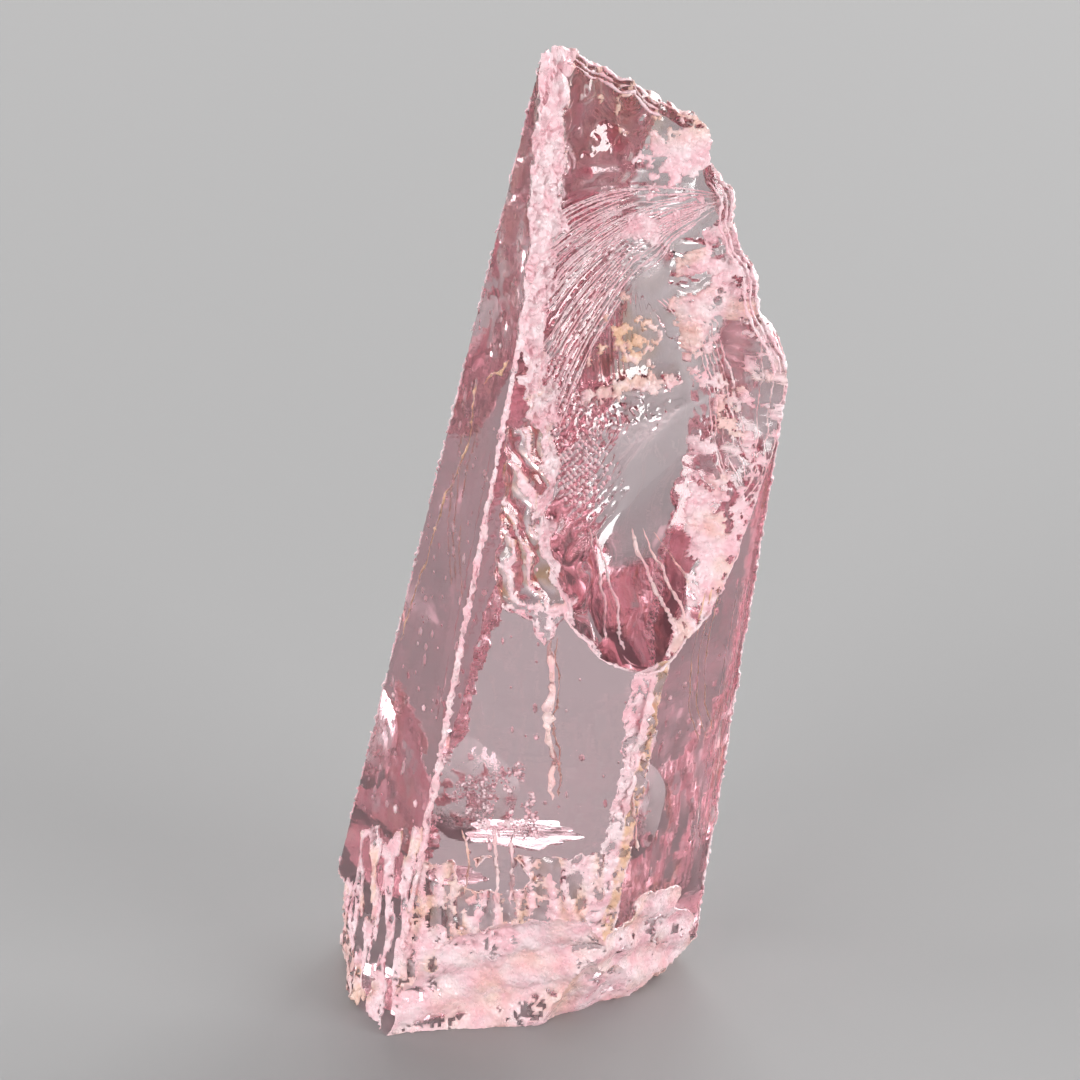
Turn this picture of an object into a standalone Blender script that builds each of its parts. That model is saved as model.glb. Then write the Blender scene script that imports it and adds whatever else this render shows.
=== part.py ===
"""Rough pink sapphire: one six-sided crystal that leans as it grew, with its head and foot broken.

The crystal starts as a prism whose six faces keep the sixty degree steps of corundum. Its head is
split off along one large shell-like fracture that faces the front and right, the top and the upper
right edge are broken away behind that fracture, and the foot carries flake scars and a rough patch.
Each fracture is a curved sheet given by a height function, and a Boolean cuts the prism back to it.
"""

import math
from dataclasses import dataclass
from typing import Callable

import bmesh
import bpy
from mathutils import Matrix, Vector, noise

# Lengths below are in millimetres and angles in degrees. +X is right, +Y is back and +Z is up.
MM = 0.001

# Driving dimensions of the prism. Each face has the azimuth of its outward normal, its distance from
# the upright axis through the origin at height zero, and how much that distance grows per millimetre
# of height, which gives the lean and the taper.
PRISM_FACES = {
    "front": (-95.0, 5.88, -0.015),
    "right_front": (-35.0, 5.29, 0.154),
    "right_back": (25.0, 5.98, 0.089),
    "back": (85.0, 5.27, -0.045),
    "left_back": (145.0, 6.92, -0.2365),
    "left_front": (-155.0, 7.03, -0.158),
}
FOOT_HEIGHT = -0.65
PRISM_TOP = 43.0

# The middle of the finished crystal's outline seen from above, which stands over the origin.
OUTLINE_MIDDLE = (1.30, -0.17)

# Grid steps of the fracture sheets, fine enough for their lobes and ripples, and how far a sheet's
# cutting block reaches out. Where a sheet isn't to cut, it stays clear of the crystal by a little.
SCOOP_STEP = 0.46
BREAK_STEP = 0.6
PATCH_STEP = 0.5
COARSE_STEP = 0.7
LEDGE_STEP = 0.8
EDGE_STEP = (0.62, 0.8)
BLOCK_DEPTH = 14.0
CLEAR_OF_FACE = 0.6
CLEAR_OF_TOE = 2.0

# The big fracture on the front and right of the head.
SCOOP_CENTRE = (3.075, -4.608, 24.606)
SCOOP_AZIMUTH = -51.96
SCOOP_ELEVATION = 7.13
SCOOP_SPAN = (-5.2, 10.4, -12.2, 19.0)
STRIKE_POINT = (6.82, 8.62)
RIPPLE_POINT = (-2.6, 3.2)
RIM_TURN = 54.2

# Relief of the big fracture: ridges that fan from the strike point over the blade of the head, rings
# in the bowl below, lumps along the left rim and jags on the right wall.
HACKLE_HEIGHT = 0.09
HACKLES_PER_RADIAN = 26.0
RING_HEIGHT = 0.10
RING_WIDTH = 1.35
RIM_LUMP_HEIGHT = 0.16
WALL_JAG_HEIGHT = 0.30

# Fractures that end the crystal above and on the right, and the flakes at its foot.
TOP_BREAK = (50.0, 53.6, 31.15)
SHOULDER_BREAK = (12.5, 16.8, 16.3)
FRONT_FLAKE = (-86.8, -17.6, (-0.5, -5.4, 2.6))
RIGHT_FLAKE = (-40.9, -21.0, (4.9, -3.2, 3.1))
CORNER_FLAKE = (-55.0, -30.0, (2.4, -4.3, 0.9))
RIGHT_TOE = (-25.0, -48.0, (6.2, -0.4, 0.5))
LEFT_TOE = (-176.0, 2.0, (-6.85, 0.6, 1.4))
LEFT_PATCH = (-155.0, 9.0, (-6.0, -3.0, 4.6))
BACK_FLAKE = (85.0, 2.6, (0.4, 5.0, 7.0))
BACK_LEDGE = (85.0, 2.6, (4.0, 4.0, 24.0))

SAPPHIRE_PINK = (0.95, 0.62, 0.70, 1.0)
SAPPHIRE_ROUGHNESS = 0.05
SAPPHIRE_IOR = 1.76

# Half of Blender's own noise range, so that rough() runs from about -1 to 1.
NOISE_REACH = 1.6

Height = Callable[[float, float], float]
Span = tuple[float, float, float, float]
Place = tuple[float, float, tuple[float, float, float]]


def sheet_axes(azimuth: float, elevation: float) -> tuple[Vector, Vector, Vector]:
    """Directions to the right along a sheet, up along it, and out of the crystal."""
    turn = math.radians(azimuth)
    rise = math.radians(elevation)
    out = Vector((math.cos(rise) * math.cos(turn), math.cos(rise) * math.sin(turn), math.sin(rise)))
    right = Vector((-math.sin(turn), math.cos(turn), 0.0))
    return right, out.cross(right), out


@dataclass(frozen=True)
class Sheet:
    """A broken surface: a local frame with a height measured outwards along its normal.

    The place is the azimuth and elevation of the normal and the sheet's centre. The span is the
    lowest and highest reach to the right and upwards, and the steps are the grid's cells there.
    """

    name: str
    place: Place
    span: Span
    steps: tuple[float, float]
    height: Height

    def placing(self) -> Matrix:
        """Transform from reaches and heights on the sheet to the crystal's space."""
        azimuth, elevation, centre = self.place
        turned = Matrix(sheet_axes(azimuth, elevation)).transposed().to_4x4()
        return Matrix.Translation(centre) @ turned


@dataclass(frozen=True)
class Lobe:
    """One shell-shaped hollow of a fracture, with the reach on each side at which it has risen 1 mm."""

    right_of: float
    above: float
    depth: float
    left: float
    right: float
    down: float
    up: float
    turn: float = 0.0

    def height(self, u: float, v: float) -> float:
        """Height of the hollow at a place on the sheet."""
        cosine = math.cos(math.radians(self.turn))
        sine = math.sin(math.radians(self.turn))
        across = (u - self.right_of) * cosine + (v - self.above) * sine
        along = (v - self.above) * cosine - (u - self.right_of) * sine
        across /= self.right if across > 0 else self.left
        along /= self.up if along > 0 else self.down
        return self.depth + across * across + along * along


# The blade of the head, the clear hollow below it, and the deep bowl whose axes follow the right rim.
SCOOP_LOBES = (
    Lobe(2.2, 10.0, -1.45, left=5.5, right=3.4, down=8.0, up=9.0),
    Lobe(2.4, 2.6, -1.85, left=6.0, right=2.5, down=7.0, up=7.0),
    Lobe(1.5, -4.5, -2.6, left=4.1, right=1.66, down=3.25, up=4.0, turn=RIM_TURN - 90.0),
)


def rough(u: float, v: float, wave: float, seed: float) -> float:
    """Smooth noise between about -1 and 1 whose bumps are one wave wide."""
    return NOISE_REACH * noise.noise(Vector((u / wave, v / wave, seed)))


def fade(value: float, start: float, end: float) -> float:
    """Runs smoothly from 0 at the start to 1 at the end."""
    t = min(1.0, max(0.0, (value - start) / (end - start)))
    return t * t * (3.0 - 2.0 * t)


@dataclass(frozen=True)
class Flake:
    """A flake's shallow hollow: how it rises from its middle, and the rings across it."""

    rise: tuple[float, float]
    middle: tuple[float, float]
    depth: float
    ring_along: tuple[float, float]
    ring_width: float
    ring_height: float
    seed: float

    def height(self, u: float, v: float) -> float:
        """Height of the scar at a place on the sheet."""
        hollow = self.rise[0] * (u - self.middle[0]) ** 2 + self.rise[1] * (v - self.middle[1]) ** 2
        phase = 2.0 * math.pi * (u * self.ring_along[0] + v * self.ring_along[1]) / self.ring_width
        lumps = 0.10 * rough(u, v, 1.2, self.seed)
        return hollow - self.depth + self.ring_height * math.sin(phase) + lumps


# The front and right flakes meet under the corner, where the third sets the contact line back.
FRONT_SCAR = Flake((0.030, 0.050), (-0.4, 0.4), 0.45, (-0.25, 1.0), 1.7, 0.10, 31.0)
RIGHT_SCAR = Flake((0.035, 0.040), (0.3, 0.0), 0.40, (0.3, 1.0), 1.6, 0.09, 37.0)
CORNER_SCAR = Flake((0.020, 0.050), (0.0, -0.5), 0.25, (1.0, 0.0), 1.9, 0.10, 61.0)


def scoop_height(u: float, v: float) -> float:
    """The big fracture: three hollows, hackles fanning from the strike point, rings and a lumpy rim."""
    floor = min(lobe.height(u, v) for lobe in SCOOP_LOBES)
    from_strike = math.hypot(u - STRIKE_POINT[0], v - STRIKE_POINT[1])
    bearing = math.atan2(v - STRIKE_POINT[1], u - STRIKE_POINT[0])
    in_blade = fade(v, 3.0, 6.0) * fade(from_strike, 1.5, 4.0)
    hackles = HACKLE_HEIGHT * in_blade * math.sin(HACKLES_PER_RADIAN * bearing + rough(u, v, 3.0, 2.0))
    from_ripple = math.hypot(u - RIPPLE_POINT[0], v - RIPPLE_POINT[1])
    in_bowl = 1.0 - fade(v, 0.0, 2.5)
    rings = RING_HEIGHT * in_bowl * math.sin(from_ripple * 2.0 * math.pi / RING_WIDTH)
    by_left_rim = 1.0 - fade(u, -1.6, -0.4)
    lumps = RIM_LUMP_HEIGHT * by_left_rim * rough(u, v, 1.1, 5.0)
    on_wall = fade(u + 0.35 * v, 4.6, 6.2)
    jags = WALL_JAG_HEIGHT * on_wall * rough(u, v * 0.6, 1.3, 9.0)
    return floor + hackles + rings + lumps + jags


def top_height(u: float, v: float) -> float:
    """The break across the top: low waves with smaller ones on them."""
    return 0.28 * rough(u, v, 2.4, 14.0) + 0.14 * rough(u, v, 1.1, 15.0)


def shoulder_height(u: float, v: float) -> float:
    """The long break down the upper right edge, crossed by shallow ledges."""
    ledges = 0.10 * math.sin(2.0 * math.pi * (v + 0.4 * u) / 2.9)
    return ledges + 0.26 * rough(u, v, 2.0, 21.0) + 0.12 * rough(u, v, 1.1, 22.0)


def left_patch_height(u: float, v: float) -> float:
    """The rough patch low on the left: upright furrows below a stepped upper border."""
    border = 2.6 + 0.42 * (u - 0.2) + 0.35 * rough(u, v, 1.6, 41.0)
    furrows = 0.13 * math.sin(2.0 * math.pi * u / 1.5 + 2.5 * rough(u, v, 3.0, 42.0))
    patch = -0.42 + furrows + 0.16 * rough(u, v, 1.0, 43.0)
    ledge = 0.45 * fade(v, -1.4, 0.6) * (1.0 - fade(u, -2.6, -1.6))
    below = 1.0 - fade(v, border - 0.3, border + 0.3)
    return CLEAR_OF_FACE + (patch + ledge - CLEAR_OF_FACE) * below


def toe_height(u: float, v: float) -> float:
    """A plain bruised break at an end of the foot."""
    return 0.16 * rough(u, v, 1.7, 67.0) + 0.10 * rough(u, v, 0.9, 68.0)


def left_toe_height(u: float, v: float) -> float:
    """The break that ends the lowest part of the left corner below a small overhang."""
    below = 1.0 - fade(v, 1.9, 2.5)
    return CLEAR_OF_TOE + (toe_height(u, v) - CLEAR_OF_TOE) * below


def back_flake_height(u: float, v: float) -> float:
    """A small round flake low on the back: a shallow hollow with soft lumps."""
    lumps = 0.08 * rough(u, v, 1.7, 49.0)
    return 0.12 * (u - 2.2) ** 2 + 0.10 * v**2 - 0.55 + lumps


def back_ledge_height(u: float, v: float) -> float:
    """A growth step across the back, a thin layer missing above a wavering line."""
    line = 2.5 + 0.30 * u + 0.8 * math.sin(0.8 * u)
    return 0.4 - 0.62 * fade(v, line - 0.3, line + 0.3)


def foot_height(u: float, v: float) -> float:
    """The underside: flat where it rests, with two shallow hollows between."""
    first = 0.55 - 0.085 * ((u - 2.2) ** 2 + 0.8 * (v + 0.6) ** 2)
    second = 0.45 - 0.10 * (0.6 * (u + 2.6) ** 2 + (v - 1.2) ** 2)
    return min(CLEAR_OF_FACE, -max(first, second))


@dataclass(frozen=True)
class WornCorner:
    """A lumpy worn band along the corner between two prism faces, from one height to another."""

    first: str
    second: str
    low: float
    high: float
    depth: float
    wander: float

    def sheet(self) -> Sheet:
        """The band as a sheet whose normal halves the corner."""
        start = corner_at(self.first, self.second, self.low)
        end = corner_at(self.first, self.second, self.high)
        bisector = face_plane(self.first)[0].normalized() + face_plane(self.second)[0].normalized()
        azimuth = math.degrees(math.atan2(bisector.y, bisector.x))
        elevation = math.degrees(math.atan2(bisector.z, math.hypot(bisector.x, bisector.y)))
        right, up, _ = sheet_axes(azimuth, elevation)
        lean = (end - start).dot(right) / (end - start).dot(up)
        half = (end - start).length / 2.0 + 1.0
        seed = 50.0 + abs(azimuth)

        def height(u: float, v: float) -> float:
            beside = u - lean * v
            if abs(beside) > BAND_HALF_WIDTH:
                return CLEAR_OF_FACE
            lumps = rough(beside, v, 1.5, seed) + 0.6 * rough(beside, v, 0.8, seed + 0.5)
            return self.wander * lumps - self.depth

        place = (azimuth, elevation, tuple((start + end) / 2.0))
        name = f"cut_edge_{self.first}_{self.second}"
        return Sheet(name, place, (-3.4, 3.4, -half, half), EDGE_STEP, height)


# The widest band is the front right one, which the photograph shows best.
BAND_HALF_WIDTH = 1.6
WORN_CORNERS = (
    WornCorner("front", "right_front", 4.0, 24.0, 0.40, 0.16),
    WornCorner("left_front", "front", 2.0, 29.0, 0.12, 0.07),
    WornCorner("left_back", "left_front", 6.0, 39.0, 0.05, 0.05),
    WornCorner("right_front", "right_back", 1.0, 25.0, 0.14, 0.08),
    WornCorner("right_back", "back", 1.0, 34.0, 0.22, 0.12),
    WornCorner("back", "left_back", 1.0, 37.0, 0.22, 0.12),
)


def face_plane(name: str) -> tuple[Vector, float]:
    """Outward direction and distance of a prism face, as a plane through the crystal's space."""
    azimuth, distance, growth = PRISM_FACES[name]
    turn = math.radians(azimuth)
    return Vector((math.cos(turn), math.sin(turn), -growth)), distance


def corner_at(first: str, second: str, height: float) -> Vector:
    """The point at a height where two neighbouring prism faces meet."""
    (a, a_distance), (b, b_distance) = face_plane(first), face_plane(second)
    a_side = a_distance - a.z * height
    b_side = b_distance - b.z * height
    scale = a.x * b.y - a.y * b.x
    return Vector(((a_side * b.y - b_side * a.y) / scale, (a.x * b_side - b.x * a_side) / scale, height))


def add_to_scene(name: str, mesh: bpy.types.Mesh) -> bpy.types.Object:
    """An object for a mesh, placed so that the crystal's outline and foot are over the origin."""
    placed = bpy.data.objects.new(name, mesh)
    placed.location = Vector((-OUTLINE_MIDDLE[0], -OUTLINE_MIDDLE[1], -FOOT_HEIGHT)) * MM
    bpy.context.scene.collection.objects.link(placed)
    return placed


def make_prism() -> bpy.types.Object:
    """The whole crystal before it broke: six leaning faces between the foot and a height above the head."""
    names = list(PRISM_FACES)
    pairs = [(names[i - 1], names[i]) for i in range(len(names))]
    low = [corner_at(first, second, FOOT_HEIGHT) for first, second in pairs]
    high = [corner_at(first, second, PRISM_TOP) for first, second in pairs]
    count = len(pairs)
    sides = [(i, (i + 1) % count, count + (i + 1) % count, count + i) for i in range(count)]
    caps = [tuple(reversed(range(count))), tuple(range(count, 2 * count))]
    mesh = bpy.data.meshes.new("sapphire_crystal")
    mesh.from_pydata([point * MM for point in low + high], [], sides + caps)
    return add_to_scene("sapphire_crystal", mesh)


def make_cutter(sheet: Sheet) -> bpy.types.Object:
    """A closed block that holds everything outside a sheet: a shaped grid drawn out to a flat lid."""
    u_min, u_max, v_min, v_max = sheet.span
    columns = math.ceil((u_max - u_min) / sheet.steps[0])
    rows = math.ceil((v_max - v_min) / sheet.steps[1])
    edit = bmesh.new()
    bmesh.ops.create_grid(edit, x_segments=columns, y_segments=rows, size=0.5)
    for vertex in edit.verts:
        u = u_min + (vertex.co.x + 0.5) * (u_max - u_min)
        v = v_min + (vertex.co.y + 0.5) * (v_max - v_min)
        vertex.co = (u, v, sheet.height(u, v))
    rim = [edge for edge in edit.edges if edge.is_boundary]
    drawn = bmesh.ops.extrude_edge_only(edit, edges=rim)["geom"]
    for vertex in (item for item in drawn if isinstance(item, bmesh.types.BMVert)):
        vertex.co.z = BLOCK_DEPTH
    bmesh.ops.edgeloop_fill(edit, edges=[edge for edge in edit.edges if edge.is_boundary])
    bmesh.ops.recalc_face_normals(edit, faces=edit.faces)
    bmesh.ops.triangulate(edit, faces=edit.faces)
    bmesh.ops.transform(edit, matrix=Matrix.Scale(MM, 4) @ sheet.placing(), verts=edit.verts)
    mesh = bpy.data.meshes.new(sheet.name)
    edit.to_mesh(mesh)
    edit.free()
    cutter = add_to_scene(sheet.name, mesh)
    cutter.hide_render = True
    cutter.display_type = "WIRE"
    return cutter


def plane_place(azimuth: float, elevation: float, distance: float, near: Vector) -> Place:
    """A place on a plane at a distance from the origin, at the plane's point nearest to another point."""
    out = sheet_axes(azimuth, elevation)[2]
    return azimuth, elevation, tuple(near + out * (distance - out.dot(near)))


def square(step: float) -> tuple[float, float]:
    """The steps of a grid whose cells are square."""
    return step, step


def broken_sheets() -> list[Sheet]:
    """Every sheet that the prism is cut back to."""
    scoop_place = (SCOOP_AZIMUTH, SCOOP_ELEVATION, SCOOP_CENTRE)
    top_place = plane_place(*TOP_BREAK, Vector((3.0, 0.0, 38.0)))
    shoulder_place = plane_place(*SHOULDER_BREAK, Vector((8.0, 1.0, 31.0)))
    foot_place = (-90.0, -90.0, (0.0, 0.0, FOOT_HEIGHT))
    wide = (-9.0, 9.0, -6.0, 8.0)
    fine = square(BREAK_STEP)
    coarse = square(COARSE_STEP)
    head = [
        Sheet("cut_scoop", scoop_place, SCOOP_SPAN, square(SCOOP_STEP), scoop_height),
        Sheet("cut_top", top_place, (-9.0, 9.0, -9.0, 9.0), fine, top_height),
        Sheet("cut_shoulder", shoulder_place, (-9.0, 9.0, -11.0, 12.0), fine, shoulder_height),
        Sheet("cut_back_ledge", BACK_LEDGE, (-9.0, 9.0, -6.0, 18.0), square(LEDGE_STEP), back_ledge_height),
    ]
    lower = [
        Sheet("cut_front_flake", FRONT_FLAKE, wide, fine, FRONT_SCAR.height),
        Sheet("cut_right_flake", RIGHT_FLAKE, wide, fine, RIGHT_SCAR.height),
        Sheet("cut_corner_flake", CORNER_FLAKE, (-8.0, 8.0, -5.0, 7.0), fine, CORNER_SCAR.height),
        Sheet("cut_right_toe", RIGHT_TOE, (-6.0, 9.0, -5.0, 5.0), fine, toe_height),
        Sheet("cut_left_toe", LEFT_TOE, (-6.0, 6.0, -5.0, 6.0), coarse, left_toe_height),
        Sheet("cut_left_patch", LEFT_PATCH, (-5.0, 5.0, -7.0, 6.5), square(PATCH_STEP), left_patch_height),
        Sheet("cut_back_flake", BACK_FLAKE, (-4.0, 7.0, -5.0, 5.0), square(PATCH_STEP), back_flake_height),
        Sheet("cut_foot", foot_place, (-10.0, 10.0, -9.0, 9.0), coarse, foot_height),
    ]
    return [*head, *lower, *(corner.sheet() for corner in WORN_CORNERS)]


def make_material() -> bpy.types.Material:
    """Clear pink sapphire."""
    material = bpy.data.materials.new("pink_sapphire")
    material.use_nodes = True
    surface = material.node_tree.nodes["Principled BSDF"]
    surface.inputs["Base Color"].default_value = SAPPHIRE_PINK
    surface.inputs["Roughness"].default_value = SAPPHIRE_ROUGHNESS
    surface.inputs["Metallic"].default_value = 0.0
    surface.inputs["IOR"].default_value = SAPPHIRE_IOR
    surface.inputs["Transmission Weight"].default_value = 1.0
    material.diffuse_color = SAPPHIRE_PINK
    return material


def main() -> None:
    """Clears the scene and builds the crystal."""
    for old in list(bpy.data.objects):
        bpy.data.objects.remove(old)
    crystal = make_prism()
    crystal.data.materials.append(make_material())
    for sheet in broken_sheets():
        cut = crystal.modifiers.new(sheet.name, "BOOLEAN")
        cut.operation = "DIFFERENCE"
        cut.solver = "EXACT"
        cut.object = make_cutter(sheet)


if __name__ == "__main__":
    main()
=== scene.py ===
"""Rough pink sapphire: the looks of the crystal, its frosted fractures, its flaws and a plain studio.

The crystal is cut on a bench where one unit is a millimetre: six crystal faces are bisected out of a
block, then each fracture is a grid shaped by its own height function, closed into a cutter and taken
away. Two cracks are thin hollows inside. Bruised places carry a crust of crushed crystal, and healed
threads, drops of fluid and grains lie in and on the clear body. The finished pieces are then set in
the frame at their real size.
"""

import logging
import math
import random
from dataclasses import dataclass, field
from enum import Enum

import bpy
import numpy as np
from mathutils import Matrix, Vector, noise

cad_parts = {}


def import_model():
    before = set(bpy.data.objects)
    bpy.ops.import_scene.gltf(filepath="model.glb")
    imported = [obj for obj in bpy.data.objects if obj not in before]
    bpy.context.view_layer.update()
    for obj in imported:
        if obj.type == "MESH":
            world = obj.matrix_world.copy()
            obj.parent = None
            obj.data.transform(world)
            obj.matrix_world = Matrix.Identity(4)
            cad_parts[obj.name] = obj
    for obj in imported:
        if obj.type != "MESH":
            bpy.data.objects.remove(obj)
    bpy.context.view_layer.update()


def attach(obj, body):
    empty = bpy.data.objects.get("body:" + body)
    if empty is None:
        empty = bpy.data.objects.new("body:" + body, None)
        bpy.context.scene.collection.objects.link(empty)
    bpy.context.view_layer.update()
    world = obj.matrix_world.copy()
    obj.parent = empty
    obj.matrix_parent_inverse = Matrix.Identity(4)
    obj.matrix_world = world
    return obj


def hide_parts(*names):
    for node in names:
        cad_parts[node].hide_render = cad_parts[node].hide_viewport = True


LOG = logging.getLogger("sapphire")

MM = 0.001

# Where the crystal's own axes stand in the frame, and the height of its foot there, in millimetres.
OUTLINE_MIDDLE = (1.30, -0.17)
FOOT_HEIGHT = -0.65
PRISM_TOP = 43.0
BENCH_BLOCK = 90.0
LID_HEIGHT = 14.0
CLEAR_OF_FACE = 0.6
COARSE_CELLS = 2.6
SMOOTH_ANGLE = 26.0

Array = np.ndarray
Socket = bpy.types.NodeSocket
Colour = tuple[float, float, float, float]
Route = tuple[Vector, ...]


def rough(u: Array, v: Array, wave: float, seed: float) -> Array:
    """Smooth noise between about -1 and 1 whose bumps are one wave wide.

    Args:
        u: Places to the right along a sheet, in millimetres.
        v: Places up along a sheet, in millimetres.
        wave: Width of a bump.
        seed: Picks one of many patterns.

    Returns:
        The noise at each place.
    """
    pairs = zip((u / wave).ravel().tolist(), (v / wave).ravel().tolist())
    values = [noise.noise((x, y, seed)) for x, y in pairs]
    return 1.6 * np.array(values).reshape(np.shape(u))


def fade(value: Array, start: float, end: float) -> Array:
    """Runs smoothly from 0 at the start to 1 at the end.

    Args:
        value: What is compared with the start and the end.
        start: Where the result leaves 0.
        end: Where the result reaches 1.

    Returns:
        The result for each value.
    """
    t = np.clip((value - start) / (end - start), 0.0, 1.0)
    return t * t * (3.0 - 2.0 * t)


def within(value: Array, low: float, high: float, soft: float) -> Array:
    """1 between two limits, falling softly to 0 outside them."""
    return fade(value, low - soft, low) * (1.0 - fade(value, high, high + soft))


def ridged(phase: Array) -> Array:
    """A row of sharp crests, one for every pi of phase, between 0 and 1."""
    return 1.0 - np.abs(np.sin(phase))


def terraced(value: Array, rise: float, softness: float) -> Array:
    """Turns a slope into steps.

    Args:
        value: Heights to be stepped.
        rise: Height of one step.
        softness: Share of a step that its riser takes.

    Returns:
        The stepped heights.
    """
    steps = value / rise
    whole = np.floor(steps)
    return (whole + fade(steps - whole, 1.0 - softness, 1.0)) * rise


def bricks(u: Array, v: Array, width: float, height: float, seed: float) -> Array:
    """Blocks of random level, like a wall of crushed steps, between 0 and 1.

    Args:
        u: Places to the right along a sheet.
        v: Places up along a sheet.
        width: Width of a block.
        height: Height of a block.
        seed: Picks one of many patterns.

    Returns:
        The level at each place.
    """
    bent_u = u + 0.35 * rough(u, v, 1.1, seed + 0.3)
    bent_v = v + 0.30 * rough(u, v, 0.9, seed + 0.6)
    pairs = zip((bent_u / width).ravel().tolist(), (bent_v / height).ravel().tolist())
    return np.array([noise.cell((x, y, seed)) for x, y in pairs]).reshape(np.shape(u))


def grid_lines(low: float, high: float, step: float, fine: tuple[float, float]) -> Array:
    """Places of grid lines, one step apart in the fine stretch and further apart outside it.

    Args:
        low: First line.
        high: The lines end just past this.
        step: Distance of the lines in the fine stretch.
        fine: Start and end of that stretch.

    Returns:
        The places of the lines.
    """
    places = [low]
    while places[-1] < high:
        here = places[-1]
        places.append(here + (step if fine[0] <= here < fine[1] else COARSE_CELLS * step))
    return np.array(places)


class FaceName(Enum):
    """The six crystal faces of the prism, in order round it."""

    FRONT = "front"
    RIGHT_FRONT = "right_front"
    RIGHT_BACK = "right_back"
    BACK = "back"
    LEFT_BACK = "left_back"
    LEFT_FRONT = "left_front"


@dataclass(frozen=True)
class CrystalFace:
    """One flat face of the prism.

    The azimuth is that of its outward normal in degrees. The distance is from the upright axis at
    height zero, and the growth is how much that distance grows per millimetre of height.
    """

    azimuth: float
    distance: float
    growth: float

    def normal(self) -> Vector:
        """Outward direction, not of unit length: its level part has length one."""
        turn = math.radians(self.azimuth)
        return Vector((math.cos(turn), math.sin(turn), -self.growth))

    def point(self) -> Vector:
        """A point of the face at height zero."""
        turn = math.radians(self.azimuth)
        return Vector((math.cos(turn), math.sin(turn), 0.0)) * self.distance


PRISM = {
    FaceName.FRONT: CrystalFace(-95.0, 5.88, -0.015),
    FaceName.RIGHT_FRONT: CrystalFace(-35.0, 5.29, 0.154),
    FaceName.RIGHT_BACK: CrystalFace(25.0, 5.98, 0.089),
    FaceName.BACK: CrystalFace(85.0, 5.27, -0.045),
    FaceName.LEFT_BACK: CrystalFace(145.0, 6.92, -0.2365),
    FaceName.LEFT_FRONT: CrystalFace(-155.0, 7.03, -0.158),
}


def corner_at(first: FaceName, second: FaceName, height: float) -> Vector:
    """The point where two neighbouring crystal faces meet at a height.

    Args:
        first: One face.
        second: The face next to it.
        height: Height on the bench in millimetres.

    Returns:
        The point of the corner.
    """
    a = PRISM[first].normal()
    b = PRISM[second].normal()
    a_side = PRISM[first].distance - a.z * height
    b_side = PRISM[second].distance - b.z * height
    scale = a.x * b.y - a.y * b.x
    return Vector(((a_side * b.y - b_side * a.y) / scale, (a.x * b_side - b.x * a_side) / scale, height))


def face_place(name: FaceName, across: float, height: float, depth: float = 0.0) -> Vector:
    """A place on a crystal face, or under it.

    Args:
        name: The face.
        across: How far to the right of the face's middle line the place is.
        height: Its height on the bench.
        depth: How far it is under the face.

    Returns:
        The place.
    """
    face = PRISM[name]
    out = face.normal()
    level = Vector((out.x, out.y, 0.0)) * (face.distance + face.growth * height)
    right = Vector((-out.y, out.x, 0.0)) * across
    return level + right + Vector((0.0, 0.0, height)) - out.normalized() * depth


def above_faces(place: Vector) -> float:
    """How far a place is outside the nearest crystal face, less than zero inside the prism."""
    return max((place - face.point()).dot(face.normal().normalized()) for face in PRISM.values())


def outward(azimuth: float, elevation: float) -> Vector:
    """The direction with an azimuth seen from above and a rise above the level, both in degrees."""
    turn = math.radians(azimuth)
    rise = math.radians(elevation)
    return Vector((math.cos(rise) * math.cos(turn), math.cos(rise) * math.sin(turn), math.sin(rise)))


@dataclass(frozen=True)
class Finish:
    """How a place of the surface looks, each value from 0 to 1: frosting, stain and white crust; the stain
    also carries painted shade in the foot veil's hollows, and the crust painted sheen on the blade.
    """

    frost: Array
    stain: Array
    crust: Array


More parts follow.
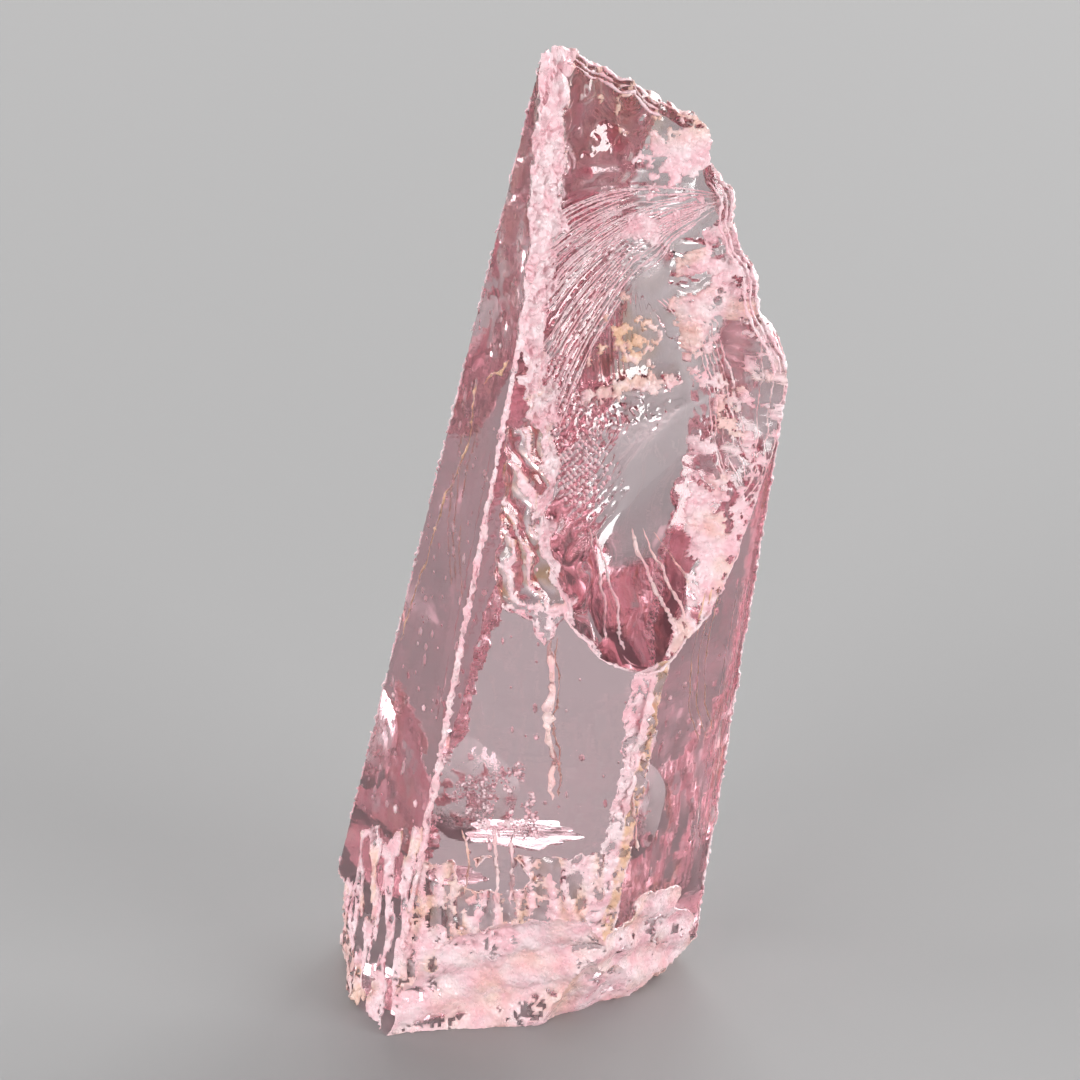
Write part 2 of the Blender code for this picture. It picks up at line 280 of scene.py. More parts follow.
@dataclass
class Sheet:
    """A broken surface, as heights above a plane, measured outwards along its normal.

    Each method that takes u and v takes places to the right and up along the sheet, in millimetres,
    and returns one value for each place.

    Attributes:
        name: What the fracture is called.
        azimuth: Direction of the plane's normal seen from above, in degrees.
        elevation: How far that normal points up, in degrees.
        centre: The middle of the plane on the bench.
        span: Lowest and highest place to the right, and lowest and highest place upwards.
        step: Size of the grid's cells to the right and upwards.
        fine: The part of the span whose cells have that size, in the same order.
    """

    name: str
    azimuth: float
    elevation: float
    centre: tuple[float, float, float]
    span: tuple[float, float, float, float]
    step: tuple[float, float]
    fine: tuple[float, float, float, float] = (-99.0, 99.0, -99.0, 99.0)

    def axes(self) -> tuple[Vector, Vector, Vector]:
        """Directions to the right along the sheet, up along it, and out of the crystal."""
        turn = math.radians(self.azimuth)
        out = outward(self.azimuth, self.elevation)
        right = Vector((-math.sin(turn), math.cos(turn), 0.0))
        return right, out.cross(right), out

    def placing(self) -> Matrix:
        """The transform from the sheet's own places and heights to the bench."""
        right, up, out = self.axes()
        turned = Matrix((right, up, out)).transposed().to_4x4()
        return Matrix.Translation(self.centre) @ turned

    def height(self, u: Array, v: Array) -> Array:
        """Height of the broken surface. A plain sheet is flat.

        Args:
            u: Places to the right along the sheet.
            v: Places up along the sheet; not used by a plain sheet.

        Returns:
            The heights in millimetres.
        """
        return np.zeros_like(u)

    def finish(self, u: Array, v: Array) -> Finish:
        """How the surface looks at each place.

        Args:
            u: Places to the right along the sheet.
            v: Places up along the sheet; not used by a plain sheet.

        Returns:
            The finish at each place.
        """
        still = np.zeros_like(u)
        return Finish(still + 0.6, still + 0.1, still + 0.5)

    def cutter(self) -> bpy.types.Object:
        """The closed block that holds everything outside the sheet.

        Returns:
            The block, as an object on the bench.
        """
        block = self.shaped_grid()
        close_block()
        block.matrix_world = self.placing()
        bpy.ops.object.transform_apply(location=True, rotation=True, scale=True)
        return block

    def shaped_grid(self) -> bpy.types.Object:
        """A grid over the span, raised to the sheet's heights.

        Returns:
            The grid, lying along the bench, as the active object.
        """
        across = grid_lines(self.span[0], self.span[1], self.step[0], self.fine[:2])
        along = grid_lines(self.span[2], self.span[3], self.step[1], self.fine[2:])
        bpy.ops.object.select_all(action="DESELECT")
        cells = (len(across) - 1, len(along) - 1)
        bpy.ops.mesh.primitive_grid_add(x_subdivisions=cells[0], y_subdivisions=cells[1], size=1.0)
        grid = bpy.context.object
        grid.name = f"cutter_{self.name}"
        places = vertex_places(grid.data)
        places[:, 0] = np.interp(places[:, 0] + 0.5, np.linspace(0.0, 1.0, len(across)), across)
        places[:, 1] = np.interp(places[:, 1] + 0.5, np.linspace(0.0, 1.0, len(along)), along)
        places[:, 2] = self.height(places[:, 0], places[:, 1])
        grid.data.vertices.foreach_set("co", places.ravel())
        return grid


def vertex_places(mesh: bpy.types.Mesh) -> Array:
    """The places of a mesh's vertices, one row for each."""
    places = np.empty(len(mesh.vertices) * 3)
    mesh.vertices.foreach_get("co", places)
    return places.reshape(-1, 3)


def face_layout(mesh: bpy.types.Mesh) -> tuple[Array, Array, Array]:
    """How a mesh's faces use its vertices.

    Args:
        mesh: The mesh.

    Returns:
        The vertex of each face corner, and each face's first corner and number of corners.
    """
    vertex_of = np.empty(len(mesh.loops), np.int64)
    mesh.loops.foreach_get("vertex_index", vertex_of)
    starts = np.empty(len(mesh.polygons), np.int64)
    mesh.polygons.foreach_get("loop_start", starts)
    totals = np.empty(len(mesh.polygons), np.int64)
    mesh.polygons.foreach_get("loop_total", totals)
    return vertex_of, starts, totals


def close_block() -> None:
    """Closes the active shaped grid into a block: its rim is extruded to a flat lid, which is filled."""
    bpy.ops.object.mode_set(mode="EDIT")
    bpy.ops.mesh.select_mode(type="EDGE")
    bpy.ops.mesh.select_all(action="SELECT")
    bpy.ops.mesh.region_to_loop()
    bpy.ops.mesh.extrude_edges_move(TRANSFORM_OT_translate={"value": (0.0, 0.0, LID_HEIGHT)})
    bpy.ops.transform.resize(value=(1.0, 1.0, 0.0), center_override=(0.0, 0.0, LID_HEIGHT))
    bpy.ops.mesh.edge_face_add()
    bpy.ops.mesh.select_all(action="SELECT")
    bpy.ops.mesh.quads_convert_to_tris()
    bpy.ops.mesh.normals_make_consistent(inside=False)
    bpy.ops.object.mode_set(mode="OBJECT")


@dataclass(frozen=True)
class Lobe:
    """One shell-shaped hollow, with the reach on each side at which it has risen a millimetre."""

    right_of: float
    above: float
    depth: float
    left: float
    right: float
    down: float
    up: float
    turn: float = 0.0

    def height(self, u: Array, v: Array) -> Array:
        """Height of the hollow at each place on the sheet."""
        cosine = math.cos(math.radians(self.turn))
        sine = math.sin(math.radians(self.turn))
        across = (u - self.right_of) * cosine + (v - self.above) * sine
        along = (v - self.above) * cosine - (u - self.right_of) * sine
        across = across / np.where(across > 0, self.right, self.left)
        along = along / np.where(along > 0, self.up, self.down)
        return self.depth + across * across + along * along


@dataclass
class Scoop(Sheet):
    """The big fracture on the front and right of the head, with all that the strike left on it.

    Attributes:
        strike: Where the broad ridges of the blade start.
        fan: Where the fine hackles start.
        ripple: Middle of the faint rings.
        rim_turn: How far the right rim leans, in degrees.
        hackle_count: Number of hackles in a full turn.
        border: Pairs of height and reach to the right where the jagged wall begins.
    """

    strike: tuple[float, float] = (6.82, 8.62)
    fan: tuple[float, float] = (6.5, 7.7)
    ripple: tuple[float, float] = (-2.6, 3.2)
    rim_turn: float = 54.2
    hackle_count: int = 112
    border: tuple[tuple[float, float], ...] = (
        (-9.0, 1.4),
        (-7.5, 2.6),
        (-5.5, 3.7),
        (-3.4, 4.5),
        (-0.4, 5.0),
        (3.9, 4.3),
        (6.1, 4.75),
        (7.0, 6.3),
        (10.4, 6.4),
        (14.0, 6.8),
    )

    def lobes(self) -> tuple[Lobe, ...]:
        """The blade of the head, the clear hollow below it, and the bowl along the right rim."""
        return (
            Lobe(2.2, 10.0, -1.45, left=5.5, right=3.4, down=8.0, up=9.0),
            Lobe(2.4, 2.6, -1.85, left=6.0, right=2.5, down=7.0, up=7.0),
            Lobe(1.5, -4.5, -2.6, left=4.1, right=1.66, down=3.25, up=4.0, turn=self.rim_turn - 90.0),
        )

    def from_left_rim(self, u: Array, v: Array) -> Array:
        """Distance to the right of the fracture's left border."""
        rim = np.where(v > 4.35, -3.1 + 0.19 * (v - 4.35), -3.1 + 0.118 * (4.35 - v))
        return u - rim

    def wall(self, u: Array, v: Array) -> Array:
        """How much a place belongs to the jagged right wall."""
        heights = np.array([place for place, _ in self.border])
        across = np.array([place for _, place in self.border])
        return fade(u - np.interp(v, heights, across), -0.35, 0.25)

    def blade(self, u: Array, v: Array) -> Array:
        """How much a place belongs to the blade above the clear hollow."""
        return fade(v + 0.35 * (u - 1.0), 3.6, 5.2)

    def hackles(self, u: Array, v: Array) -> Array:
        """Beaded ridges that fan out to the left from the strike point and bend down, from 0 to 1."""
        left = self.fan[0] - u
        down = self.fan[1] - v
        reach = np.hypot(left, down)
        turn = np.arctan2(down - 0.035 * left * left, left)
        turn = turn + 0.012 * rough(u, v, 1.6, 81.0)
        far = within(reach, 3.3, 8.2, 0.9) * within(turn, -0.36, 0.62, 0.08)
        near = within(reach, 0.6, 3.4, 0.5) * within(turn, -0.40, 0.34, 0.08)
        patchy = fade(rough(u, v, 1.9, 82.0), -0.85, -0.2)
        beads = 0.75 + 0.25 * rough(u, v, 0.30, 83.0)
        crest = ridged(turn * self.hackle_count / 2.0) ** 1.3
        return np.maximum(far, 0.75 * near) * patchy * beads * crest * self.clear_of_wall(u, v)

    def clear_of_wall(self, u: Array, v: Array) -> Array:
        """How much a place is left of the wall."""
        return 1.0 - self.wall(u, v)

    def scales(self, u: Array, v: Array) -> Array:
        """Rows of small bumps like fish scales between the left rim and the bowl, from 0 to 1."""
        along = (u + 1.38) * 0.437 - (v - 1.45) * 0.899
        across = (u + 1.38) * 0.899 + (v - 1.45) * 0.437
        zone = within(along, -1.6, 6.0, 1.0) * within(across, -1.2, 1.25, 0.4)
        bent = along + 0.20 * across**2
        rows = ridged(bent * math.pi / 0.44 + 0.7 * rough(u, v, 0.9, 84.0))
        split = 0.5 + 0.5 * np.sin(across * 2.0 * math.pi / 0.60 + np.floor(bent / 0.44) * 2.4)
        return zone * rows * (0.3 + 0.7 * split)

    def rim_band(self, u: Array, v: Array) -> Array:
        """How much a place belongs to the lumpy white band along the left border."""
        width = np.interp(v, [-9.0, -4.0, 1.0, 5.0, 14.0], [0.4, 0.6, 1.5, 1.8, 2.0])
        edge = self.from_left_rim(u, v) + 0.45 * rough(u, v, 0.9, 80.0)
        return 1.0 - fade(edge / width, 0.75, 1.12)

    def rim_lumps(self, u: Array, v: Array) -> Array:
        """The lumps of that band, on the broad ones that the solid has too."""
        big = 0.16 * rough(u, v, 1.1, 5.0) * (1.0 - fade(u, -1.6, -0.4))
        middle = 0.20 * np.abs(rough(u, v * 0.7, 0.62, 85.0))
        small = 0.05 * np.abs(rough(u, v, 0.21, 86.0)) + 0.10 * bricks(u, v, 0.40, 0.32, 78.0)
        return big + self.rim_band(u, v) * (middle + small)

    def lens(self, u: Array, v: Array) -> Array:
        """Distance from the middle of the leaf-shaped scar on the wall, 1 at its outline."""
        across = (u - 6.0 + 0.10 * v) / 1.15
        along = (v + 0.4) / 3.7
        return np.hypot(across, along) + 0.12 * rough(u, v, 1.0, 68.5)

    def upper_wall(self, v: Array) -> Array:
        """How much a height belongs to the crushed upper wall, not to the folded lower one."""
        return fade(v, -4.2, -2.6)

    def wall_jags(self, u: Array, v: Array) -> Array:
        """A terraced leaf between crushed steps on the upper wall, and broad folds on the lower one."""
        wall = self.wall(u, v)
        upper = self.upper_wall(v)
        lens = self.lens(u, v)
        leaf = 1.0 - fade(lens, 1.15, 1.4)
        coarse = 0.30 * rough(u, v * 0.6, 1.3, 9.0) * fade(u + 0.35 * v, 4.6, 6.2)
        nested = terraced(0.55 * np.minimum(lens, 1.4), 0.13, 0.35) + 0.05 * rough(u, v, 0.5, 67.5)
        steps = 0.20 * bricks(u, v, 0.95, 0.62, 87.0) + 0.10 * bricks(u, v, 0.45, 0.34, 88.0) + 0.25
        fine = 0.03 * rough(u, v, 0.24, 89.0)
        slit = -0.45 * np.exp(-(((u - 5.62 - 0.05 * v) / 0.16) ** 2)) * within(v, -4.6, -1.9, 0.5)
        crushed = leaf * nested + (1.0 - leaf) * steps + fine + slit
        folds = 0.20 * ridged((0.75 * u - 0.5 * v) * math.pi / 2.0 + 0.9 * rough(u, v, 2.2, 70.0))
        creases = 0.02 * ridged((0.5 * u + 0.8 * v) * math.pi / 0.6 + 1.4 * rough(u, v, 1.1, 71.0))
        return coarse + wall * (upper * (crushed - 0.25) + (1.0 - upper) * (folds + creases))

    def blade_waves(self, u: Array, v: Array) -> Array:
        """Low waves and small crescents of the glassy top of the blade."""
        zone = fade(v, 9.2, 10.6) * self.clear_of_wall(u, v)
        waves = 0.05 * rough(u, v, 1.5, 90.0)
        crescents = 0.05 * fade(rough(u, v * 0.8, 0.5, 91.0), 0.15, 0.5)
        tail = 0.05 * ridged((u + v) * math.pi / 0.5 + rough(u, v, 0.8, 92.0)) * fade(u, 3.6, 5.0)
        return zone * (waves + crescents + tail)

    def hollow_marks(self, u: Array, v: Array) -> Array:
        """The jagged crest that crosses the clear hollow, upright striae above it and speckle below."""
        zone = within(u, 0.2, 4.2, 0.5)
        crest = 0.22 * self.crest(u, v) * (0.6 + 0.4 * rough(u, v, 0.3, 94.0))
        striae = 0.03 * ridged(u * math.pi / 0.24 + 0.8 * rough(u, v * 0.3, 0.9, 99.0))
        striae = striae * within(v, 1.3, 4.2, 0.8)
        speckle = 0.06 * np.abs(rough(u, v, 0.26, 95.0)) * within(v, -1.2, 0.9, 0.6)
        return crest + zone * (striae + speckle)

    def bowl_ripples(self, u: Array, v: Array) -> Array:
        """Wide faint rings in the lower part of the fracture."""
        reach = np.hypot(u - self.ripple[0], v - self.ripple[1])
        in_bowl = 1.0 - fade(v, 0.0, 2.5)
        return 0.03 * in_bowl * np.sin(reach * 2.0 * math.pi / 1.35) * self.clear_of_wall(u, v)

    def broad_hackles(self, u: Array, v: Array) -> Array:
        """The wide ridges of the blade, which the solid has too."""
        reach = np.hypot(u - self.strike[0], v - self.strike[1])
        bearing = np.arctan2(v - self.strike[1], u - self.strike[0])
        zone = fade(v, 3.0, 6.0) * fade(reach, 1.5, 4.0) * (1.0 - fade(v, 9.0, 11.0))
        return 0.06 * zone * np.sin(26.0 * bearing + rough(u, v, 3.0, 2.0))

    def height(self, u: Array, v: Array) -> Array:
        """All of the fracture's relief together."""
        floor = np.min([lobe.height(u, v) for lobe in self.lobes()], axis=0)
        relief = floor + self.broad_hackles(u, v) + self.bowl_ripples(u, v)
        relief = relief + 0.10 * self.hackles(u, v) + 0.10 * self.scales(u, v)
        relief = relief + self.rim_lumps(u, v) + self.wall_jags(u, v)
        return relief + self.blade_waves(u, v) + self.hollow_marks(u, v)

    def crest(self, u: Array, v: Array) -> Array:
        """How much a place belongs to the jagged crest across the clear hollow."""
        line = v - 0.9 + 0.16 * (u - 2.0) + 0.35 * rough(u, v * 0.3, 0.8, 93.0)
        return np.exp(-((line / 0.34) ** 2)) * within(u, 0.2, 4.2, 0.5)

    def finish(self, u: Array, v: Array) -> Finish:
        """White along the left rim and on crests, satin at the strike, stained in the hollows, with two
        soft blobs of white crust on the blade that are painted sheen.
        """
        band = self.rim_band(u, v)
        hackles = self.hackles(u, v)
        scales = self.scales(u, v)
        wall = self.wall(u, v)
        left = self.fan[0] - u
        down = self.fan[1] - v
        satin = within(np.arctan2(down, left), -0.45, 0.75, 0.1) * self.blade(u, v)
        satin = satin * (1.0 - fade(np.hypot(left, down), 3.6, 6.4))
        # Painted sheen: two soft blobs of white crust on the blade stand in for the satin shine that the
        # back light gives there.
        painted_sheen = np.exp(-(((u - 5.3) / 1.7) ** 2) - ((v - 9.6) / 1.5) ** 2)
        painted_sheen = np.maximum(painted_sheen, np.exp(-(((u - 3.3) / 1.1) ** 2) - ((v - 7.0) / 0.7) ** 2))
        crest = self.crest(u, v)
        patches = fade(rough(u, v, 0.8, 97.0), -0.6, 0.05) * (0.62 + 0.38 * fade(self.lens(u, v), 0.8, 1.2))
        patches = patches * (0.3 + 0.7 * self.upper_wall(v))
        frost = np.maximum.reduce([band, 0.8 * satin, 0.5 * wall, 0.5 * scales, 0.6 * crest])
        gold = np.exp(-(((u - 2.4) / 1.8) ** 2) - ((v - 2.5) / 2.0) ** 2)
        brown = 0.6 * fade(v, 9.6, 11.2) * (1.0 - wall) * (1.0 - band)
        peach = 0.35 * wall * fade(rough(u, v, 1.3, 96.0), 0.0, 0.5)
        speckled = 0.5 * scales * fade(rough(u, v, 0.8, 98.0), 0.0, 0.5)
        stain = np.clip(gold + brown + peach + speckled, 0.0, 1.0)
        rusty = np.maximum(gold, 0.7 * brown) * (0.60 + 0.38 * rough(u, v * 0.45, 0.55, 68.0))
        folded = wall * (1.0 - self.upper_wall(v)) * (0.72 + 0.35 * rough(u, v * 0.6, 1.2, 69.0))
        whitened = [0.9 * band, 0.85 * wall * patches, folded, 0.85 * crest, painted_sheen]
        crust = np.maximum.reduce([*whitened, 0.25 * hackles, 0.3 * satin, rusty])
        return Finish(frost, stain, crust)


@dataclass
class TopBreak(Sheet):
    """The break across the top of the head."""

    def height(self, u: Array, v: Array) -> Array:
        """Low waves, with small steps along the front edge."""
        base = 0.28 * rough(u, v, 2.4, 14.0) + 0.14 * rough(u, v, 1.1, 15.0)
        steps = terraced(0.25 * rough(u, v * 0.7, 0.8, 16.0), 0.08, 0.3)
        return base + steps + 0.03 * rough(u, v, 0.25, 17.0)

    def finish(self, u: Array, v: Array) -> Finish:
        """Half frosted."""
        frost = 0.45 + 0.35 * rough(u, v, 0.9, 18.0)
        crust = 0.55 + 0.45 * rough(u, v * 0.6, 0.5, 19.0)
        return Finish(np.clip(frost, 0.0, 1.0), np.full_like(u, 0.25), crust)


@dataclass
class ShoulderBreak(Sheet):
    """The long break down the upper right edge."""

    def height(self, u: Array, v: Array) -> Array:
        """Ledges across it, and beads of rough along its edge."""
        ledges = 0.10 * np.sin(2.0 * math.pi * (v + 0.4 * u) / 2.9)
        base = ledges + 0.26 * rough(u, v, 2.0, 21.0) + 0.12 * rough(u, v, 1.1, 22.0)
        steps = 0.07 * bricks(u, v, 0.7, 0.5, 23.0)
        return base + steps + 0.025 * rough(u, v, 0.28, 24.0)

    def finish(self, u: Array, v: Array) -> Finish:
        """Frosted in patches."""
        frost = 0.5 + 0.35 * rough(u, v, 0.8, 25.0)
        crust = 0.68 + 0.45 * rough(u * 0.6, v, 0.5, 26.0)
        return Finish(np.clip(frost, 0.0, 1.0), np.full_like(u, 0.15), crust)


@dataclass
class Flake(Sheet):
    """A flake scar off the foot: a shallow hollow with rings and furrows.

    Attributes:
        bend: How fast the hollow rises to the right and upwards, per square millimetre.
        deepest: Height of its deepest place.
        ring: Width of its rings.
        slant: How far the rings lean.
        offset: Where its deepest place is.
        ring_height: How high the rings are.
        seed: Picks its pattern.
        frosted: How frosted it is, from 0 to 1.
        upright: Whether the rings cross it from side to side.
        furrow: Width of its furrows.
        furrow_height: How high their crests are.
        furrow_lean: How far they lean.
    """

    bend: tuple[float, float] = (0.03, 0.05)
    offset: tuple[float, float] = (0.0, 0.0)
    deepest: float = -0.4
    ring: float = 1.7
    slant: float = 0.25
    ring_height: float = 0.10
    seed: float = 31.0
    frosted: float = 0.8
    upright: bool = False
    furrow: float = 1.1
    furrow_height: float = 0.05
    furrow_lean: float = 0.3

    def height(self, u: Array, v: Array) -> Array:
        """The hollow with its rings, the wide ones of the solid and finer ones on them."""
        hollow = self.bend[0] * (u - self.offset[0]) ** 2 + self.bend[1] * (v - self.offset[1]) ** 2
        across = u if self.upright else v + self.slant * u
        rings = self.ring_height * np.sin(2.0 * math.pi * across / self.ring)
        lean = self.furrow_lean
        wander = 1.6 * rough(u, v * 0.5, 1.6, self.seed + 1.0)
        furrows = ridged(math.pi * (u + lean * v) / self.furrow + wander)
        lumps = 0.10 * rough(u, v, 1.2, self.seed) + 0.012 * rough(u, v, 0.3, self.seed + 2.0)
        return self.deepest + hollow + rings + self.furrow_height * furrows + lumps

    def finish(self, u: Array, v: Array) -> Finish:
        """Frosted in streaks."""
        streaks = rough(u, v * 0.4, 0.7, self.seed + 3.0)
        frost = np.clip(self.frosted + 0.4 * streaks, 0.0, 1.0)
        stain = np.clip(0.10 + 0.4 * rough(u, v, 1.5, self.seed + 4.0), 0.0, 1.0)
        crust = 0.92 + 0.45 * rough(u * 0.5, v, 1.1, self.seed + 5.0)
        return Finish(frost, stain, crust)


@dataclass
class Toe(Sheet):
    """A bruised break at an end of the foot.

    Attributes:
        ceiling: The height on the sheet above which it leaves the crystal alone.
        seed: Picks its pattern.
    """

    ceiling: float = 99.0
    seed: float = 67.0

    def height(self, u: Array, v: Array) -> Array:
        """Crumbled, and clear of the crystal above its ceiling."""
        crumbled = 0.16 * rough(u, v, 1.7, self.seed) + 0.10 * rough(u, v, 0.9, self.seed + 1.0)
        crumbled = crumbled + 0.06 * np.abs(rough(u, v, 0.3, self.seed + 2.0))
        below = 1.0 - fade(v, self.ceiling, self.ceiling + 0.6)
        return 2.0 + (crumbled - 2.0) * below

    def finish(self, u: Array, v: Array) -> Finish:
        """Frosted and a little stained."""
        crust = 0.6 + 0.4 * rough(u, v, 0.5, self.seed + 3.0)
        return Finish(np.full_like(u, 0.8), np.full_like(u, 0.35), crust)


@dataclass
class LeftPatch(Sheet):
    """The rough patch low on the left, with upright furrows below a stepped border."""

    def height(self, u: Array, v: Array) -> Array:
        """Furrows and splinters, clear of the crystal above the border."""
        border = 2.6 + 0.42 * (u - 0.2) + 0.35 * rough(u, v, 1.6, 41.0) + 0.12 * rough(u, v, 0.5, 44.0)
        furrows = 0.13 * np.sin(2.0 * math.pi * u / 1.5 + 2.5 * rough(u, v, 3.0, 42.0))
        splinters = 0.12 * ridged(math.pi * u / 0.40 + 2.2 * rough(u, v * 0.35, 0.9, 45.0))
        crumbs = 0.16 * rough(u, v, 1.0, 43.0) + 0.06 * np.abs(rough(u, v * 0.6, 0.25, 46.0))
        patch = -0.48 + furrows + splinters + crumbs
        ledge = 0.45 * fade(v, -1.4, 0.6) * (1.0 - fade(u, -2.6, -1.6))
        below = 1.0 - fade(v, border - 0.2, border + 0.2)
        return CLEAR_OF_FACE + (patch + ledge - CLEAR_OF_FACE) * below

    def finish(self, u: Array, v: Array) -> Finish:
        """Strongly frosted in upright streaks."""
        streaks = rough(u, v * 0.25, 0.4, 47.0)
        frost = np.clip(0.65 + 0.35 * streaks, 0.0, 1.0)
        stain = fade(rough(u, v * 0.6, 1.2, 48.0), 0.15, 0.6) * 0.6
        crust = 0.86 + 0.40 * rough(u, v * 0.3, 0.35, 39.0)
        return Finish(frost, stain, crust)


@dataclass
class BackFlake(Sheet):
    """A small round flake low on the back, seen through the front as a pink cloud."""

    def height(self, u: Array, v: Array) -> Array:
        """A shallow hollow with soft lumps."""
        lumps = 0.08 * rough(u, v, 1.7, 49.0) + 0.03 * rough(u, v, 0.6, 50.0)
        return 0.12 * (u - 2.2) ** 2 + 0.10 * v**2 - 0.55 + lumps

    def finish(self, u: Array, v: Array) -> Finish:
        """Cloudy in the middle, fading to its outline."""
        middle = 1.0 - fade(np.hypot((u - 2.2) / 2.1, v / 2.3) + 0.25 * rough(u, v, 0.9, 51.0), 0.35, 0.95)
        return Finish(middle, np.full_like(u, 0.1), middle * (0.45 + 0.5 * rough(u, v, 0.7, 52.0)))


@dataclass
class BackLedge(Sheet):
    """A growth step across the back, a thin layer missing above a wavering line."""

    def height(self, u: Array, v: Array) -> Array:
        """Flat above the line and clear of the crystal below it."""
        line = 2.5 + 0.30 * u + 0.8 * np.sin(0.8 * u) + 0.12 * rough(u, v * 0.1, 0.6, 52.0)
        step = 0.4 - 0.62 * fade(v, line - 0.12, line + 0.12)
        return step + 0.02 * terraced(rough(u * 0.3, v, 0.9, 53.0), 0.5, 0.3)

    def finish(self, u: Array, v: Array) -> Finish:
        """Almost as clear as a crystal face."""
        return Finish(np.full_like(u, 0.05), np.full_like(u, 0.05), np.zeros_like(u))


@dataclass
class Underside(Sheet):
    """The foot's underside: flat where it rests, with two shallow hollows between."""

    def height(self, u: Array, v: Array) -> Array:
        """The hollows are cut and the rest stays clear of the cutter."""
        first = 0.55 - 0.085 * ((u - 2.2) ** 2 + 0.8 * (v + 0.6) ** 2)
        second = 0.45 - 0.10 * (0.6 * (u + 2.6) ** 2 + (v - 1.2) ** 2)
        depth = np.maximum(first, second)
        depth = depth + np.where(depth > 0.08, 0.06 * rough(u, v, 0.5, 56.0), 0.0)
        return np.minimum(CLEAR_OF_FACE, -depth)

    def finish(self, u: Array, v: Array) -> Finish:
        """Rough."""
        return Finish(np.full_like(u, 0.6), np.full_like(u, 0.3), np.full_like(u, 0.2))


@dataclass
class RimScar(Sheet):
    """The shallow bruise on the front face between the left corner and the big fracture's rim."""

    def zone(self, u: Array, v: Array) -> Array:
        """How much a place belongs to the bruise."""
        left = np.interp(v, [-4.5, 0.0, 4.5], [-1.15, -1.0, -0.75])
        ragged = 0.22 * rough(u, v, 0.6, 72.0)
        low = np.interp(u, [-1.5, 0.4, 0.9, 1.4, 2.2], [-2.3, -3.3, -4.4, -3.5, -2.7])
        return within(v + ragged, low, 4.6, 0.5) * fade(u + ragged, left, left + 0.3)

    def waves(self, u: Array, v: Array) -> Array:
        """Wavy folds that run down to the right."""
        return ridged((u + 0.34 * v) * math.pi / 0.85 + 2.0 * rough(u, v * 0.8, 1.1, 73.0))

    def height(self, u: Array, v: Array) -> Array:
        """Folds in the bruise, clear of the crystal outside it."""
        cloud = 1.0 - fade(v, -2.9, -2.2)
        folds = -0.34 + 0.24 * self.waves(u, v) + 0.05 * rough(u, v, 0.35, 74.0)
        rubbed = -0.10 + 0.05 * rough(u, v, 0.3, 75.0)
        bruise = folds * (1.0 - cloud) + rubbed * cloud
        return CLEAR_OF_FACE + (bruise - CLEAR_OF_FACE) * self.zone(u, v)

    def finish(self, u: Array, v: Array) -> Finish:
        """White crests and stained hollows, and a frosted cloud at the lower end."""
        waves = self.waves(u, v)
        cloud = 1.0 - fade(v, -2.9, -2.2)
        stain = (1.0 - cloud) * fade(1.0 - waves, 0.2, 0.7)
        crust = np.maximum(0.9 * fade(waves, 0.45, 0.85), cloud * (0.50 + 0.4 * rough(u, v, 0.5, 76.0)))
        return Finish(np.maximum(0.35, 0.8 * cloud), stain, crust)


@dataclass
class Crack(Sheet):
    """A thin hollow inside the clear body, almost level, with a satin sheen.

    Attributes:
        gap: How far its two walls are apart.
        striae: Width of the fine lines on them.
    """

    gap: float = 0.03
    striae: float = 0.33

    def height(self, u: Array, v: Array) -> Array:
        """Soft waves and fine parallel lines."""
        waves = 0.05 * rough(u, v, 1.8, 77.0) + 0.015 * rough(u, v, 0.7, 78.0)
        return waves + 0.004 * np.sin(2.0 * math.pi * v / self.striae)

    def finish(self, u: Array, v: Array) -> Finish:
        """A sheen, with more frost in streaks."""
        frost = 0.45 + 0.5 * fade(rough(u, v * 0.4, 0.9, 79.0), -0.3, 0.5)
        return Finish(frost, np.full_like(u, 0.15), np.zeros_like(u))

    def cutter(self) -> bpy.types.Object:
        """The closed sliver that the crack takes out.

        Returns:
            The sliver, as an object on the bench.
        """
        sliver = self.shaped_grid()
        self.round_off(sliver.data)
        wall = sliver.modifiers.new("gap", "SOLIDIFY")
        wall.thickness = self.gap
        bpy.ops.object.modifier_apply(modifier=wall.name)
        sliver.matrix_world = self.placing()
        bpy.ops.object.transform_apply(location=True, rotation=True, scale=True)
        return sliver

    def round_off(self, mesh: bpy.types.Mesh) -> None:
        """Draws the grid's outline in to a ragged oval.

        Args:
            mesh: The grid's mesh.
        """
        places = vertex_places(mesh)
        half_u = (self.span[1] - self.span[0]) / 2.0
        half_v = (self.span[3] - self.span[2]) / 2.0
        x = (places[:, 0] - (self.span[0] + half_u)) / half_u
        y = (places[:, 1] - (self.span[2] + half_v)) / half_v
        square = np.maximum(np.maximum(np.abs(x), np.abs(y)), 1e-6)
        reach = np.maximum(np.hypot(x, y), 1e-6)
        bearing = np.arctan2(y, x)
        ragged = 1.0 + 0.10 * np.sin(5.0 * bearing + 1.0) + 0.06 * np.sin(11.0 * bearing)
        pull = 1.0 + (square / reach * ragged - 1.0) * square
        places[:, 0] = self.span[0] + half_u + x * pull * half_u
        places[:, 1] = self.span[2] + half_v + y * pull * half_v
        mesh.vertices.foreach_set("co", places.ravel())


